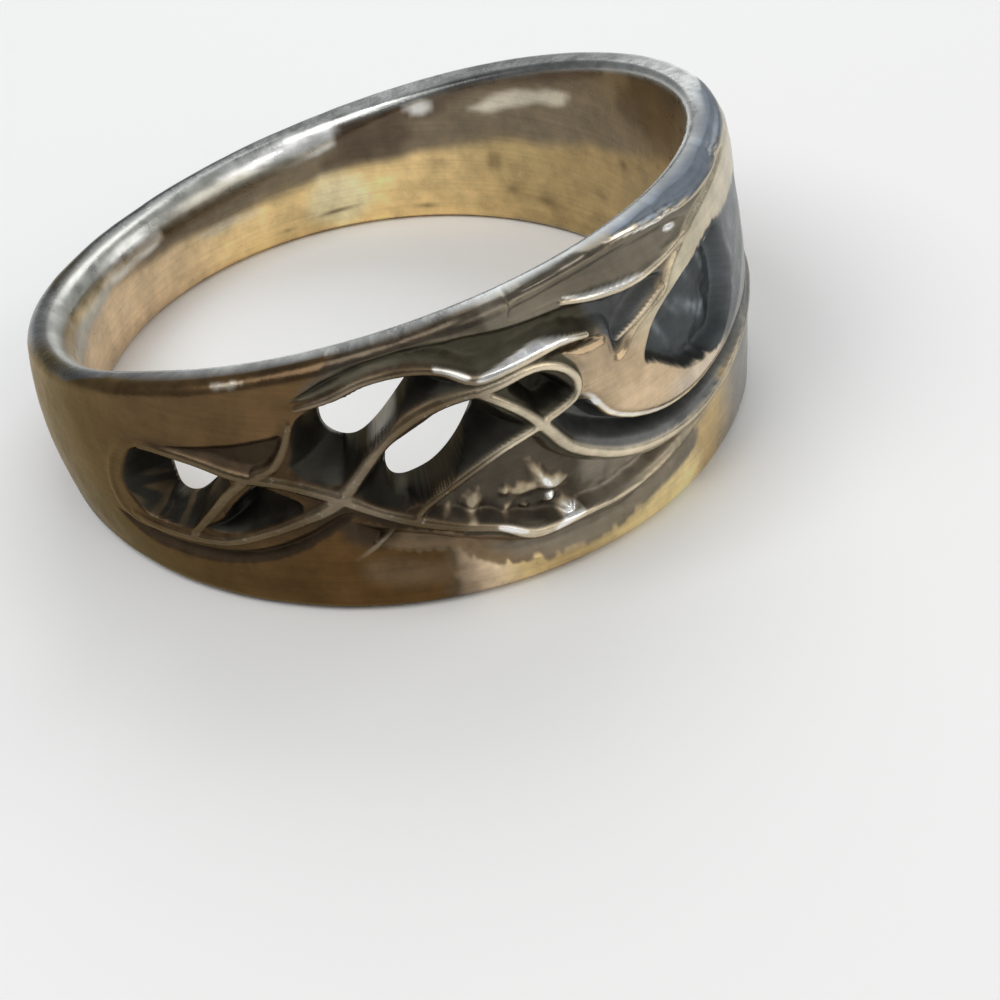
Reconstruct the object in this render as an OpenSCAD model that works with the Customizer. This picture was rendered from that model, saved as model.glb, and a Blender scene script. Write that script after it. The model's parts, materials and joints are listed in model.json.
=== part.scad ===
// Cast band ring: wide at the front, narrow at the back, pierced and carved with vines.
// It lies on its lower rim. +Z runs along the finger hole, and the origin is the centre of
// that hole on the lower rim. Angles are measured about +Z from +X, so -90 faces the viewer.

/* [Finger hole] */
// Inner diameter
bore_d = 18.5; // [16:0.1:21]

/* [Band] */
// Height of the band at its tallest, at the front
band_height = 9.1; // [8.9:0.1:9.6]
// Height of the band at its narrowest, at the back
back_height = 3.3; // [3:0.1:3.6]
// Direction in which the band is tallest
front_angle = -45; // [-50:1:-40]
// Wall at the lower rim, at the back
low_wall_back = 0.8; // [0.7:0.05:1.1]
// Wall at the lower rim, at the front
low_wall_front = 1.5; // [1.2:0.05:1.7]
// Wall at the upper rim, at the back
top_wall_back = 1.3; // [0.9:0.05:1.4]
// Wall at the upper rim, at the front
top_wall_front = 0.9; // [0.8:0.05:1.2]
// How far the outside swells between the rims
swell = 0.3; // [0.1:0.05:0.4]
// Rounding of the outer edge of both rims
rim_round = 0.4; // [0.25:0.05:0.45]
// Bevel on the inner edge of both rims, so that the ring slides on
inner_bevel = 0.25; // [0.15:0.05:0.3]

/* [Carving] */
// How much deeper the sunk fields lie than their tables say
field_scale = 1; // [0.6:0.1:1.3]
// How much further the carved lines stand out than their tables say
line_scale = 1; // [0.5:0.1:1.4]
// Length of the oval hollow in the leaf, in degrees round the band
oval_length = 27.6; // [24:0.2:30]
// Width of the oval hollow
oval_width = 3.2; // [2.6:0.1:3.4]
// Depth of the oval hollow
oval_depth = 0.42; // [0.25:0.01:0.5]

/* [Hidden] */

bore_r = bore_d / 2;
mean_height = (band_height + back_height) / 2;
height_swing = (band_height - back_height) / 2;
// The rim dips a little before and after the front
rim_wave = 0.12;
// The inside of the blank lies this far within the hole, which is then bored out
bore_spare = 0.4;
bore_facets = 96;
// Degrees between two sections of the blank
column_step = 5;
// Rows of points up the outside, and steps in the rounding of a rim's outer edge
face_rows = 5;
round_steps = 3;
// Steps between two rows of a table
path_steps = 2;
outline_steps = 4;
// The middle of the oval hollow, as an angle and a height
oval_angle = -39.2;
oval_centre = 5.7;
// What is cut reaches this far out of the band
clear_out = 0.4;
// What is raised is rooted this deep under the skin
root_depth = 0.6;
silver = [0.72, 0.68, 0.62];

// The sunk fields and grooves. Columns: angle, height, half width, depth.
BROW_FIELD = [
    [-104, 7.0, 0.06, 0.05], [-96, 7.72, 0.22, 0.20], [-88, 7.98, 0.30, 0.25],
    [-80, 7.72, 0.52, 0.30], [-72, 7.75, 0.42, 0.30], [-65, 7.7, 0.34, 0.36],
    [-59, 7.45, 0.42, 0.46], [-54, 7.22, 0.42, 0.48], [-49, 7.28, 0.28, 0.42],
    [-45.5, 7.4, 0.06, 0.20]];
VEIN_FIELD = [
    [-84, 8.45, 0.05, 0.05], [-75, 8.45, 0.18, 0.16], [-66, 8.5, 0.26, 0.24],
    [-57, 8.42, 0.36, 0.26], [-49, 8.35, 0.36, 0.26], [-42, 8.3, 0.26, 0.22],
    [-36, 8.2, 0.08, 0.08]];
LEFT_PANEL = [
    [-127, 5.0, 0.05, 0.05], [-120, 5.15, 0.14, 0.18], [-114, 5.25, 0.28, 0.22],
    [-110, 5.45, 0.25, 0.22], [-108, 5.8, 0.08, 0.10]];
SMALL_CELL = [
    [-75.4, 6.4, 0.05, 0.30], [-73.5, 6.3, 0.34, 0.65], [-70, 6.0, 0.56, 0.75],
    [-67.5, 5.85, 0.42, 0.70], [-65.4, 5.65, 0.08, 0.30]];
CRESCENT = [
    [-69.3, 5.05, 0.10, 0.30], [-67, 4.95, 0.40, 0.70], [-62.5, 4.4, 0.60, 0.85],
    [-56, 3.7, 0.46, 0.80], [-49, 3.25, 0.38, 0.65], [-42, 3.1, 0.32, 0.50],
    [-34, 3.2, 0.28, 0.40], [-25, 3.3, 0.22, 0.35], [-12, 3.45, 0.18, 0.25],
    [2, 3.5, 0.08, 0.08]];
LUMPY_FIELD = [
    [-89.2, 3.25, 0.06, 0.15], [-85, 3.35, 0.50, 0.42], [-79, 3.45, 0.95, 0.48],
    [-73, 3.35, 1.30, 0.50], [-68, 2.95, 0.98, 0.48], [-61, 2.55, 0.62, 0.42],
    [-54, 2.25, 0.30, 0.32], [-47, 2.25, 0.08, 0.10]];
LEFT_GROOVE = [
    [-140, 1.9, 0.10, 0.05], [-134, 1.6, 0.25, 0.20], [-126, 1.65, 0.28, 0.24],
    [-118, 1.8, 0.30, 0.24], [-111, 2.2, 0.30, 0.24], [-104, 2.95, 0.30, 0.24],
    [-100, 3.4, 0.20, 0.15]];
LOWER_GROOVE = [
    [-100, 3.3, 0.12, 0.12], [-94, 2.75, 0.28, 0.24], [-87, 2.25, 0.30, 0.26],
    [-80, 1.65, 0.34, 0.28], [-73, 1.2, 0.32, 0.28], [-64, 1.15, 0.30, 0.26],
    [-55, 1.45, 0.30, 0.24], [-46, 1.9, 0.30, 0.20], [-36, 2.25, 0.25, 0.14],
    [-24, 2.45, 0.12, 0.05]];
// The oval hollow in the leaf, as the same columns from its length, its width and its depth.
// Its ends are this narrow, and this share of its depth.
oval_tip = 0.04;
oval_tip_depth = 0.4;
OVAL_FIELD = [for (turn = [0 : 15 : 180])
    [oval_angle - oval_length / 2 * cos(turn), oval_centre, max(oval_tip, oval_width / 2 * sin(turn)),
     oval_depth * mix(oval_tip_depth, 1, sin(turn))]];
FIELDS = [BROW_FIELD, VEIN_FIELD, LEFT_PANEL, SMALL_CELL, CRESCENT, LUMPY_FIELD, LEFT_GROOVE,
    LOWER_GROOVE, OVAL_FIELD];

// The pierced cells. Columns: angle and height outside, angle and height at the finger hole.
ROUND_CELL = [
    [-136.5, 3.3, -129.5, 3.2], [-134.5, 4.4, -129.5, 3.9], [-130, 4.75, -128, 4.4],
    [-123, 4.72, -123, 4.55], [-117, 4.45, -118.5, 4.4], [-119, 3.6, -120.5, 3.9],
    [-123.5, 2.65, -123.5, 3.2], [-131, 2.5, -128, 2.85]];
WEDGE_CELL = [
    [-122, 2.65, -119.5, 2.9], [-118.5, 3.3, -117.5, 3.2], [-114.5, 4.1, -114.5, 3.8],
    [-111.5, 4.35, -112, 4.1], [-106.8, 3.95, -108.5, 3.9], [-107.2, 3.45, -109, 3.5],
    [-113, 2.85, -113.5, 3.1], [-118, 2.55, -117.5, 2.85]];
TALL_CELL = [
    [-107, 4.95, -104, 5.2], [-105.8, 6.3, -103.5, 6.0], [-102, 6.9, -101, 6.6],
    [-96, 7.25, -96, 7.0], [-89.5, 7.5, -90, 7.3], [-82, 7.1, -87.5, 7.0],
    [-89.5, 6.35, -91, 6.4], [-95.5, 5.4, -95.5, 5.5], [-100, 4.5, -98.5, 5.15],
    [-104, 4.5, -102.5, 4.95]];
LONG_CELL = [
    [-98.2, 4.15, -95.5, 4.3], [-95.5, 5.0, -94, 4.8], [-91.5, 5.75, -91, 5.4],
    [-86.5, 6.2, -87, 5.95], [-81.5, 6.45, -82.5, 6.2], [-76.5, 5.9, -80, 5.75],
    [-73, 5.2, -80.5, 5.2], [-79, 4.6, -82.5, 4.8], [-86, 3.85, -86.5, 4.1],
    [-92, 3.45, -91.5, 3.7], [-96, 3.75, -94.5, 3.9]];
CELLS = [ROUND_CELL, WEDGE_CELL, TALL_CELL, LONG_CELL];

// The carved lines. Columns: angle, height, half width, how far they stand out.
LOWER_STEM = [
    [-136, 3.9, 0.10, 0.05], [-134, 4.5, 0.15, 0.08], [-129, 4.9, 0.17, 0.10],
    [-122, 4.85, 0.17, 0.10], [-115, 4.6, 0.20, 0.12], [-108, 4.5, 0.22, 0.14],
    [-101, 4.1, 0.25, 0.15], [-96, 3.6, 0.20, 0.14], [-91, 3.15, 0.22, 0.14],
    [-85, 2.7, 0.18, 0.14], [-79, 2.25, 0.18, 0.16], [-74, 1.8, 0.24, 0.20],
    [-69, 1.65, 0.20, 0.20], [-62, 1.6, 0.15, 0.16], [-56, 1.75, 0.13, 0.14],
    [-50, 2.0, 0.12, 0.12], [-46, 2.15, 0.08, 0.06]];
LOOPED_VINE = [
    [-138, 2.4, 0.12, 0.05], [-133, 2.15, 0.18, 0.10], [-126, 2.15, 0.18, 0.12],
    [-119, 2.3, 0.18, 0.13], [-113, 2.75, 0.18, 0.13], [-107, 3.3, 0.20, 0.14],
    [-101, 3.95, 0.26, 0.15], [-97, 4.85, 0.20, 0.14], [-93, 5.75, 0.22, 0.14],
    [-88, 6.35, 0.24, 0.14], [-83, 6.6, 0.20, 0.15], [-77, 6.65, 0.18, 0.16],
    [-71, 6.8, 0.16, 0.15], [-67, 6.55, 0.15, 0.15], [-64.6, 6.0, 0.14, 0.14],
    [-65.6, 5.5, 0.12, 0.14], [-70.5, 5.2, 0.15, 0.15]];
CELL_STRUT = [
    [-124.5, 2.3, 0.14, 0.08], [-120.5, 3.2, 0.15, 0.10], [-117, 4.0, 0.17, 0.12],
    [-113.5, 4.6, 0.16, 0.10]];
SIDE_STRUT = [
    [-112.5, 4.7, 0.16, 0.10], [-109.5, 5.0, 0.15, 0.10], [-107.5, 5.6, 0.13, 0.10],
    [-106.3, 6.3, 0.08, 0.05]];
UPPER_VINE = [
    [-105, 6.75, 0.08, 0.05], [-100, 7.05, 0.12, 0.10], [-95, 7.45, 0.13, 0.12],
    [-89, 7.6, 0.14, 0.14], [-84, 7.45, 0.15, 0.18], [-79.5, 7.0, 0.20, 0.20],
    [-74, 7.1, 0.16, 0.24], [-67, 7.3, 0.15, 0.26], [-62, 7.1, 0.10, 0.12]];
LONG_BRANCH = [
    [-79.5, 6.6, 0.16, 0.12], [-76.5, 6.2, 0.16, 0.16], [-73, 5.6, 0.16, 0.18],
    [-70.5, 5.0, 0.20, 0.20], [-67.5, 4.2, 0.20, 0.20], [-63.5, 3.6, 0.20, 0.20],
    [-58, 3.0, 0.19, 0.20], [-51, 2.65, 0.17, 0.20], [-43, 2.6, 0.14, 0.20],
    [-35, 2.75, 0.13, 0.20], [-27, 2.95, 0.12, 0.18], [-15, 3.1, 0.12, 0.14],
    [0, 3.2, 0.10, 0.10], [18, 3.1, 0.06, 0.03]];
SHORT_BRANCH = [
    [-90.5, 3.2, 0.12, 0.12], [-88.5, 3.6, 0.12, 0.12], [-83, 4.25, 0.12, 0.14],
    [-77, 4.8, 0.12, 0.16], [-71.5, 5.1, 0.13, 0.16]];
UPPER_VEIN = [
    [-65, 8.2, 0.06, 0.05], [-60, 8.05, 0.13, 0.20], [-53, 7.85, 0.13, 0.22],
    [-46, 7.85, 0.12, 0.18], [-37, 7.95, 0.08, 0.06]];
RIM_VEIN = [
    [-68, 8.6, 0.07, 0.05], [-58, 8.75, 0.10, 0.12], [-49, 8.75, 0.12, 0.18],
    [-40, 8.55, 0.13, 0.20], [-30, 8.4, 0.12, 0.18], [-18, 8.0, 0.10, 0.12],
    [-4, 7.2, 0.06, 0.04]];
LINES = [LOWER_STEM, LOOPED_VINE, CELL_STRUT, SIDE_STRUT, UPPER_VINE, LONG_BRANCH, SHORT_BRANCH,
    UPPER_VEIN, RIM_VEIN];

// The lumps in the lumpy field. Columns: angle, height, half length, half width, turn.
LUMPS = [
    [-82, 3.4, 0.42, 0.25, 80], [-75.5, 3.5, 0.35, 0.22, -35], [-72, 3.85, 0.4, 0.2, -55],
    [-70, 3.3, 0.42, 0.26, -40], [-70.5, 2.6, 0.25, 0.18, 10], [-67.5, 2.05, 0.4, 0.3, 30],
    [-78, 2.75, 0.3, 0.2, 40]];
// A lump's middle lies this deep under the skin, and the lump stands this far out of its middle
lump_depth = 0.45;
lump_height = 0.3;
lump_facets = 10;

// Sections of what is swept along a table, as shares of its half width and of its depth or stand.
// The floor of a sunk field, and how wide its cut is where it leaves the band
floor_share = 0.75;
cut_share = 1.2;
// The shoulders of a raised line, and how wide the line is at its root
shoulder_share = 0.75;
shoulder_stand = 0.6;
root_share = 1.15;

// Height of the upper rim
function rim(a) = mean_height + height_swing * cos(a - front_angle) + rim_wave * sin(2 * a);
// Share of the front, from 0 at the back to 1
function front(a) = (1 + cos(a - front_angle)) / 2;
function mix(from, to, share) = from + (to - from) * share;
// Radius of the outside at an angle and height, before any carving
function skin(a, z) =
    let(up = max(0, min(1, z / rim(a))),
        low = mix(low_wall_back, low_wall_front, front(a)),
        top = mix(top_wall_back, top_wall_front, front(a)))
    bore_r + mix(low, top, up) + 4 * up * (1 - up) * swell;
function place(a, z, r) = [r * cos(a), r * sin(a), z];

// A smooth curve through the rows of a table, in any number of columns
function bend(p, q, r, s, t) =
    0.5 * (2 * q + (r - p) * t + (2 * p - 5 * q + 4 * r - s) * t * t + (3 * q - p - 3 * r + s) * t * t * t);
function open_curve(rows, steps) =
    let(n = len(rows))
    [for (i = [0 : n - 2], k = [0 : steps - 1])
        bend(rows[max(i - 1, 0)], rows[i], rows[i + 1], rows[min(i + 2, n - 1)], k / steps),
     rows[n - 1]];
function closed_curve(rows, steps) =
    let(n = len(rows))
    [for (i = [0 : n - 1], k = [0 : steps - 1])
        bend(rows[(i + n - 1) % n], rows[i], rows[(i + 1) % n], rows[(i + 2) % n], k / steps)];

// Faces of a tube of rings of n points, open or joined end to end
function side_faces(rings, n, joined = false) =
    [for (i = [0 : joined ? rings - 1 : rings - 2], k = [0 : n - 1])
        let(a = i * n + k, b = i * n + (k + 1) % n,
            c = ((i + 1) % rings) * n + k, d = ((i + 1) % rings) * n + (k + 1) % n)
        each [[a, b, c], [b, d, c]]];
function end_faces(rings, n) =
    let(last = (rings - 1) * n)
    [for (k = [1 : n - 2]) each [[0, k + 1, k], [last, last + k, last + k + 1]]];

// A bar swept along a table. A section point is: share of the half width, share of the level, lift.
module sweep(table, section, level_scale) {
    rows = open_curve(table, path_steps);
    last = len(rows) - 1;
    mm = PI / 180 * (bore_r + low_wall_front);
    points = [for (i = [0 : last])
        let(p = rows[max(i - 1, 0)], q = rows[min(i + 1, last)],
            along = [(q[0] - p[0]) * mm, q[1] - p[1]],
            across = [-along[1], along[0]] / norm(along))
        for (s = section)
            let(a = rows[i][0] + across[0] * s[0] * rows[i][2] / mm,
                z = rows[i][1] + across[1] * s[0] * rows[i][2])
            place(a, z, skin(a, z) + s[1] * rows[i][3] * level_scale + s[2])];
    polyhedron(points, concat(side_faces(last + 1, len(section)), end_faces(last + 1, len(section))));
}

module sunk_fields() {
    tub = [[cut_share, 0, clear_out], [1, 0, 0], [floor_share, -1, 0],
        [-floor_share, -1, 0], [-1, 0, 0], [-cut_share, 0, clear_out]];
    for (field = FIELDS) sweep(field, tub, field_scale);
}

module carved_lines() {
    round_top = [[-root_share, 0, -root_depth], [-shoulder_share, shoulder_stand, 0], [0, 1, 0],
        [shoulder_share, shoulder_stand, 0], [root_share, 0, -root_depth]];
    for (line = LINES) sweep(line, round_top, line_scale);
}

// A funnel-shaped hole from the outside in to the finger hole
module cell(table) {
    rows = closed_curve(table, outline_steps);
    n = len(rows);
    points = [for (reach = [-1, clear_out]) for (p = rows)
        let(r_out = skin(p[0], p[1]), wall = r_out - bore_r,
            share = reach > 0 ? -reach / wall : 1 + bore_spare / wall,
            a = mix(p[0], p[2], share), z = mix(p[1], p[3], share))
        place(a, z, mix(r_out, bore_r, share))];
    inner_end = [for (i = [0 : n - 1]) n - 1 - i];
    outer_end = [for (i = [0 : n - 1]) n + i];
    polyhedron(points, concat(side_faces(2, n), [inner_end, outer_end]));
}

module lumps() {
    for (p = LUMPS)
        rotate([0, 0, p[0]])
            translate([skin(p[0], p[1]) - lump_depth, 0, p[1]])
                rotate([p[4], 0, 0])
                    scale([lump_height, p[2], p[3]])
                        sphere(1, $fn = lump_facets);
}

// The blank's section at an angle, as radius and height: from the lower rim up the outside
function blank_section(a) =
    let(top = rim(a), r = rim_round, turn_step = 90 / round_steps, inside = bore_r - bore_spare)
    concat(
        [[inside, inner_bevel + bore_spare], [bore_r + inner_bevel, 0], [skin(a, 0) - r, 0]],
        [for (turn = [turn_step : turn_step : 90]) [skin(a, r) - r + r * sin(turn), r - r * cos(turn)]],
        [for (k = [1 : face_rows]) let(z = mix(r, top - r, k / (face_rows + 1))) [skin(a, z), z]],
        [for (turn = [90 : -turn_step : turn_step])
            [skin(a, top - r) - r + r * sin(turn), top - r + r * cos(turn)]],
        [[skin(a, top) - r, top], [bore_r + inner_bevel, top], [inside, top - inner_bevel - bore_spare]]);

// The smooth band before it is carved
module blank() {
    columns = 360 / column_step;
    sections = [for (i = [0 : columns - 1]) blank_section(i * column_step)];
    points = [for (i = [0 : columns - 1], p = sections[i]) place(i * column_step, p[1], p[0])];
    polyhedron(points, side_faces(columns, len(sections[0]), true));
}

module carved_band() {
    difference() {
        blank();
        sunk_fields();
        for (table = CELLS) cell(table);
    }
    carved_lines();
    lumps();
}

module band_ring() {
    color(silver)
        difference() {
            // The tallest point of the carved band is brought to the band's height
            resize([0, 0, band_height]) carved_band();
            translate([0, 0, -clear_out])
                cylinder(r = bore_r, h = band_height + 2 * clear_out, $fn = bore_facets);
        }
}

band_ring();
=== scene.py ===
"""Looks of a cast band ring: one fine carved mesh, its worn silver, a floor and soft light."""
import json
import math

import bpy
import numpy as np
from mathutils import Matrix, Vector


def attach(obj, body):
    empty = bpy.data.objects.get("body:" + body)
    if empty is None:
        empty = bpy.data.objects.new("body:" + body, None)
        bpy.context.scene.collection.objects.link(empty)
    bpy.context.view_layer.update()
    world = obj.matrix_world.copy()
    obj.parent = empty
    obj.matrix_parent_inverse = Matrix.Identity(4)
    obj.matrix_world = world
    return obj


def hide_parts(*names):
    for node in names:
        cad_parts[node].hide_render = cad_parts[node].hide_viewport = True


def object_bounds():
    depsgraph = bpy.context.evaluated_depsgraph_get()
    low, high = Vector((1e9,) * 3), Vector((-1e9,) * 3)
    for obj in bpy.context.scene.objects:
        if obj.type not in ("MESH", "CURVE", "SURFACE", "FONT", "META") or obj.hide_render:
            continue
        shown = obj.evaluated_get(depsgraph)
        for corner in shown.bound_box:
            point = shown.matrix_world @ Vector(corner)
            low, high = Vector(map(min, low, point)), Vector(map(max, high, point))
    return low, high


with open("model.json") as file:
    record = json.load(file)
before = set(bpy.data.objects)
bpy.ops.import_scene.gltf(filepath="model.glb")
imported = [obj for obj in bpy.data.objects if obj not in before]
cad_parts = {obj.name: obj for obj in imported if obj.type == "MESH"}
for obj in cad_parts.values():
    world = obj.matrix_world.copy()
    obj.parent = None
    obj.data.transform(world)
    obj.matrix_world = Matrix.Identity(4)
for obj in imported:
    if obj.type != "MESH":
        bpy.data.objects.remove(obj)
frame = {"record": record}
cad_low, cad_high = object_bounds()

# Shapes are worked out in millimetres and degrees, and the finished mesh is in metres
MM = 0.001
BORE_R = frame["record"]["mounts"][0]["dims"]["r_mm"]
BAND_H = (cad_high[2] - cad_low[2]) / MM

# The band, as in the part's source: the upper rim's height, the wall at the lower and upper rim,
# each at the back and the front, the swell between, and the rims' rounding
MEAN_H, SWING_H, WAVE_H = 6.2, 2.9, 0.12
FRONT_ANGLE = -45
LOW_WALL, TOP_WALL = (0.8, 1.5), (1.3, 0.9)
SWELL = 0.3
RIM_ROUND, INNER_ROUND = 0.4, 0.3
# The upper rim's inner rounding at the front and at the back on the left, inwards and downwards,
# and the angles where it grows and shrinks
ROUND_IN, ROUND_DOWN = (0.3, 0.82), (0.3, 1.25)
ROUND_GROWS, ROUND_SHRINKS = (70, 120), (232, 205)
ARC = math.radians(10.7)  # millimetres round the front for each degree
FAR = 9.0  # any distance out of reach
# Reach of the distances from outlines and raised lines, and steps between their points
OUTLINE_REACH, LINE_REACH, FLANK_REACH = 1.5, 0.8, 0.5
OUTLINE_STEPS, LINE_STEPS = 5, 4

# The mesh: angles between columns in the carving and elsewhere, and rows up the face
CARVED = (-146, 24)
FINE_STEP, PLAIN_STEP, STEP_GROWTH = 0.22, 1.5, 1.12
FACE_ROWS, ROUND_ROWS, BEVEL_ROWS = 190, 10, 6
MOST_TRIANGLES = 190000
# Care in thinning it out: the step of colour that calls for full care, the least care, that of
# polished places, its levels, and how much it counts beside the shape
COLOUR_STEP, LEAST_CARE, POLISH_CARE, CARE_LEVELS, CARE_FACTOR = 0.05, 0.1, 0.3, 10, 0.0001

# Smooth noise. Columns: how much, size of its lumps in millimetres, how far height counts, seed.
GRAINS = {
    "hollows": [(0.03, 0.45, 1, 1), (0.02, 0.2, 1, 2)],
    "oval": [(0.07, 0.7, 1, 3), (0.04, 0.35, 1, 4)],
    "cell_walls": [(0.05, 0.3, 1, 5)],
    "outside": [(0.02, 1.6, 1, 6), (0.008, 0.6, 1, 7)],
    "oval_streaks": [(0.5, 0.22, 1, 8)],
    "ragged_edges": [(0.1, 0.13, 0.25, 11), (0.06, 0.3, 0.5, 12)],
    "inner_levels": [(0.15, 1.2, 1, 13)],
    "inner_patches": [(0.07, 0.5, 1, 14)],
    "cell_streaks": [(1, 0.12, 0.3, 15)],
    "colour_runs": [(1.2, 0.8, 1, 16), (0.8, 0.25, 1, 18)],
    "lumps": [(0.06, 0.14, 1, 17)],
}
LATTICE_ROWS, LATTICE_START = 64, 8


def cosd(angle):
    return np.cos(np.radians(angle))


def sind(angle):
    return np.sin(np.radians(angle))


def mix(start, end, share):
    return start + (end - start) * share


def smooth(low, high, value):
    """0 up to low, 1 from high on, and a soft step between. High may lie below low."""
    share = np.clip((value - low) / (high - low), 0, 1)
    return share * share * (3 - 2 * share)


def blend_max(first, second, soft):
    """The greater of two heights, with a fillet where they cross."""
    share = np.clip(soft - np.abs(first - second), 0, None) / soft
    return np.maximum(first, second) + share * share * soft / 4


def raw_rim(angle):
    return MEAN_H + SWING_H * cosd(angle - FRONT_ANGLE) + WAVE_H * sind(2 * angle)


STRETCH = BAND_H / raw_rim(np.arange(-180, 180, 0.5)).max()


def rim(angle):
    """Height of the upper rim."""
    return STRETCH * raw_rim(angle)


def skin(angle, height):
    """Radius of the outside before any carving."""
    front = (1 + cosd(angle - FRONT_ANGLE)) / 2
    up = np.clip(height / rim(angle), 0, 1)
    wall = mix(mix(*LOW_WALL, front), mix(*TOP_WALL, front), up)
    return BORE_R + wall + 4 * up * (1 - up) * SWELL


def inner_round(angle):
    """How far in and how far down the upper rim's inner edge is rounded."""
    turn = angle % 360
    wide = smooth(*ROUND_GROWS, turn) * smooth(*ROUND_SHRINKS, turn)
    return mix(*ROUND_IN, wide), mix(*ROUND_DOWN, wide)


def inner_wall(angle, height):
    """Radius of the finger hole's wall, which the rounding of the upper rim widens."""
    wide, tall = inner_round(angle)
    up = np.clip((height - rim(angle) + tall) / tall, 0, 1)
    return BORE_R + wide * (1 - np.sqrt(1 - up * up))


def bend(rows, steps, closed):
    """A smooth curve through the rows of a table, in any number of columns."""
    rows = np.array(rows, float)
    before, after = (rows[-1:], rows[:2]) if closed else (rows[:1], rows[-1:])
    rows = np.vstack([before, rows, after])
    share = np.linspace(0, 1, steps, endpoint=False)[:, None]
    parts = [0.5 * (2 * q + (r - p) * share + (2 * p - 5 * q + 4 * r - s) * share**2
                    + (3 * q - p - 3 * r + s) * share**3)
             for p, q, r, s in zip(rows, rows[1:], rows[2:], rows[3:])]
    return np.vstack([*parts, rows[-2]])


def near_path(angle, height, path, reach):
    """Distance to a path within its reach, then the path's other columns at the nearest point."""
    close = ((angle > path[:, 0].min() - reach / ARC) & (angle < path[:, 0].max() + reach / ARC)
             & (height > path[:, 1].min() - reach) & (height < path[:, 1].max() + reach))
    u, v = angle[close] * ARC, height[close]
    best = np.full(u.shape, FAR**2)
    at = np.zeros(u.shape)
    for i in range(len(path) - 1):
        (a, b), (c, d) = path[i, :2], path[i + 1, :2]
        du, dv = (c - a) * ARC, d - b
        share = np.clip(((u - a * ARC) * du + (v - b) * dv) / max(du * du + dv * dv, 1e-9), 0, 1)
        gap = (u - a * ARC - share * du) ** 2 + (v - b - share * dv) ** 2
        nearer = gap < best
        best = np.where(nearer, gap, best)
        at = np.where(nearer, i + share, at)
    distance = np.full(angle.shape, FAR)
    distance[close] = np.sqrt(best)
    others = [np.zeros(angle.shape) for _ in path.T[2:]]
    for other, column in zip(others, path.T[2:]):
        other[close] = np.interp(at, np.arange(len(path)), column)
    return distance, *others


def to_outline(angle, height, rows):
    """Distance to a closed outline, less than 0 inside it."""
    path = bend(rows, OUTLINE_STEPS, True)
    distance, = near_path(angle, height, path, OUTLINE_REACH)
    crossings = np.zeros(angle.shape, int)
    near = distance < FAR
    a, h = angle[near], height[near]
    for (p, q), (r, s) in zip(path[:-1, :2], path[1:, :2]):
        if q != s:
            crossings[near] += ((q > h) != (s > h)) & (a < p + (h - q) / (s - q) * (r - p))
    return np.where(crossings % 2 == 1, -distance, distance)


def noise_layer(angle, height, size, seed):
    """Smooth noise from -1 to 1 on the band, in lumps of about size millimetres."""
    columns = int(round(360 * ARC / size))
    lattice = np.random.default_rng(seed).uniform(-1, 1, (columns, LATTICE_ROWS))
    x = (angle + 180) / 360 * columns
    y = height / size + LATTICE_START
    i, j = np.floor(x).astype(int), np.floor(y).astype(int)
    x, y = x - i, y - j
    x, y = x * x * (3 - 2 * x), y * y * (3 - 2 * y)

    def at(di, dj):
        return lattice[(i + di) % columns, (j + dj) % LATTICE_ROWS]

    return mix(mix(at(0, 0), at(1, 0), x), mix(at(0, 1), at(1, 1), x), y)


def grain(name, angle, height):
    """One of the table's noises, with all its layers."""
    return sum(much * noise_layer(angle, flat * height, size, seed)
               for much, size, flat, seed in GRAINS[name])


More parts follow.
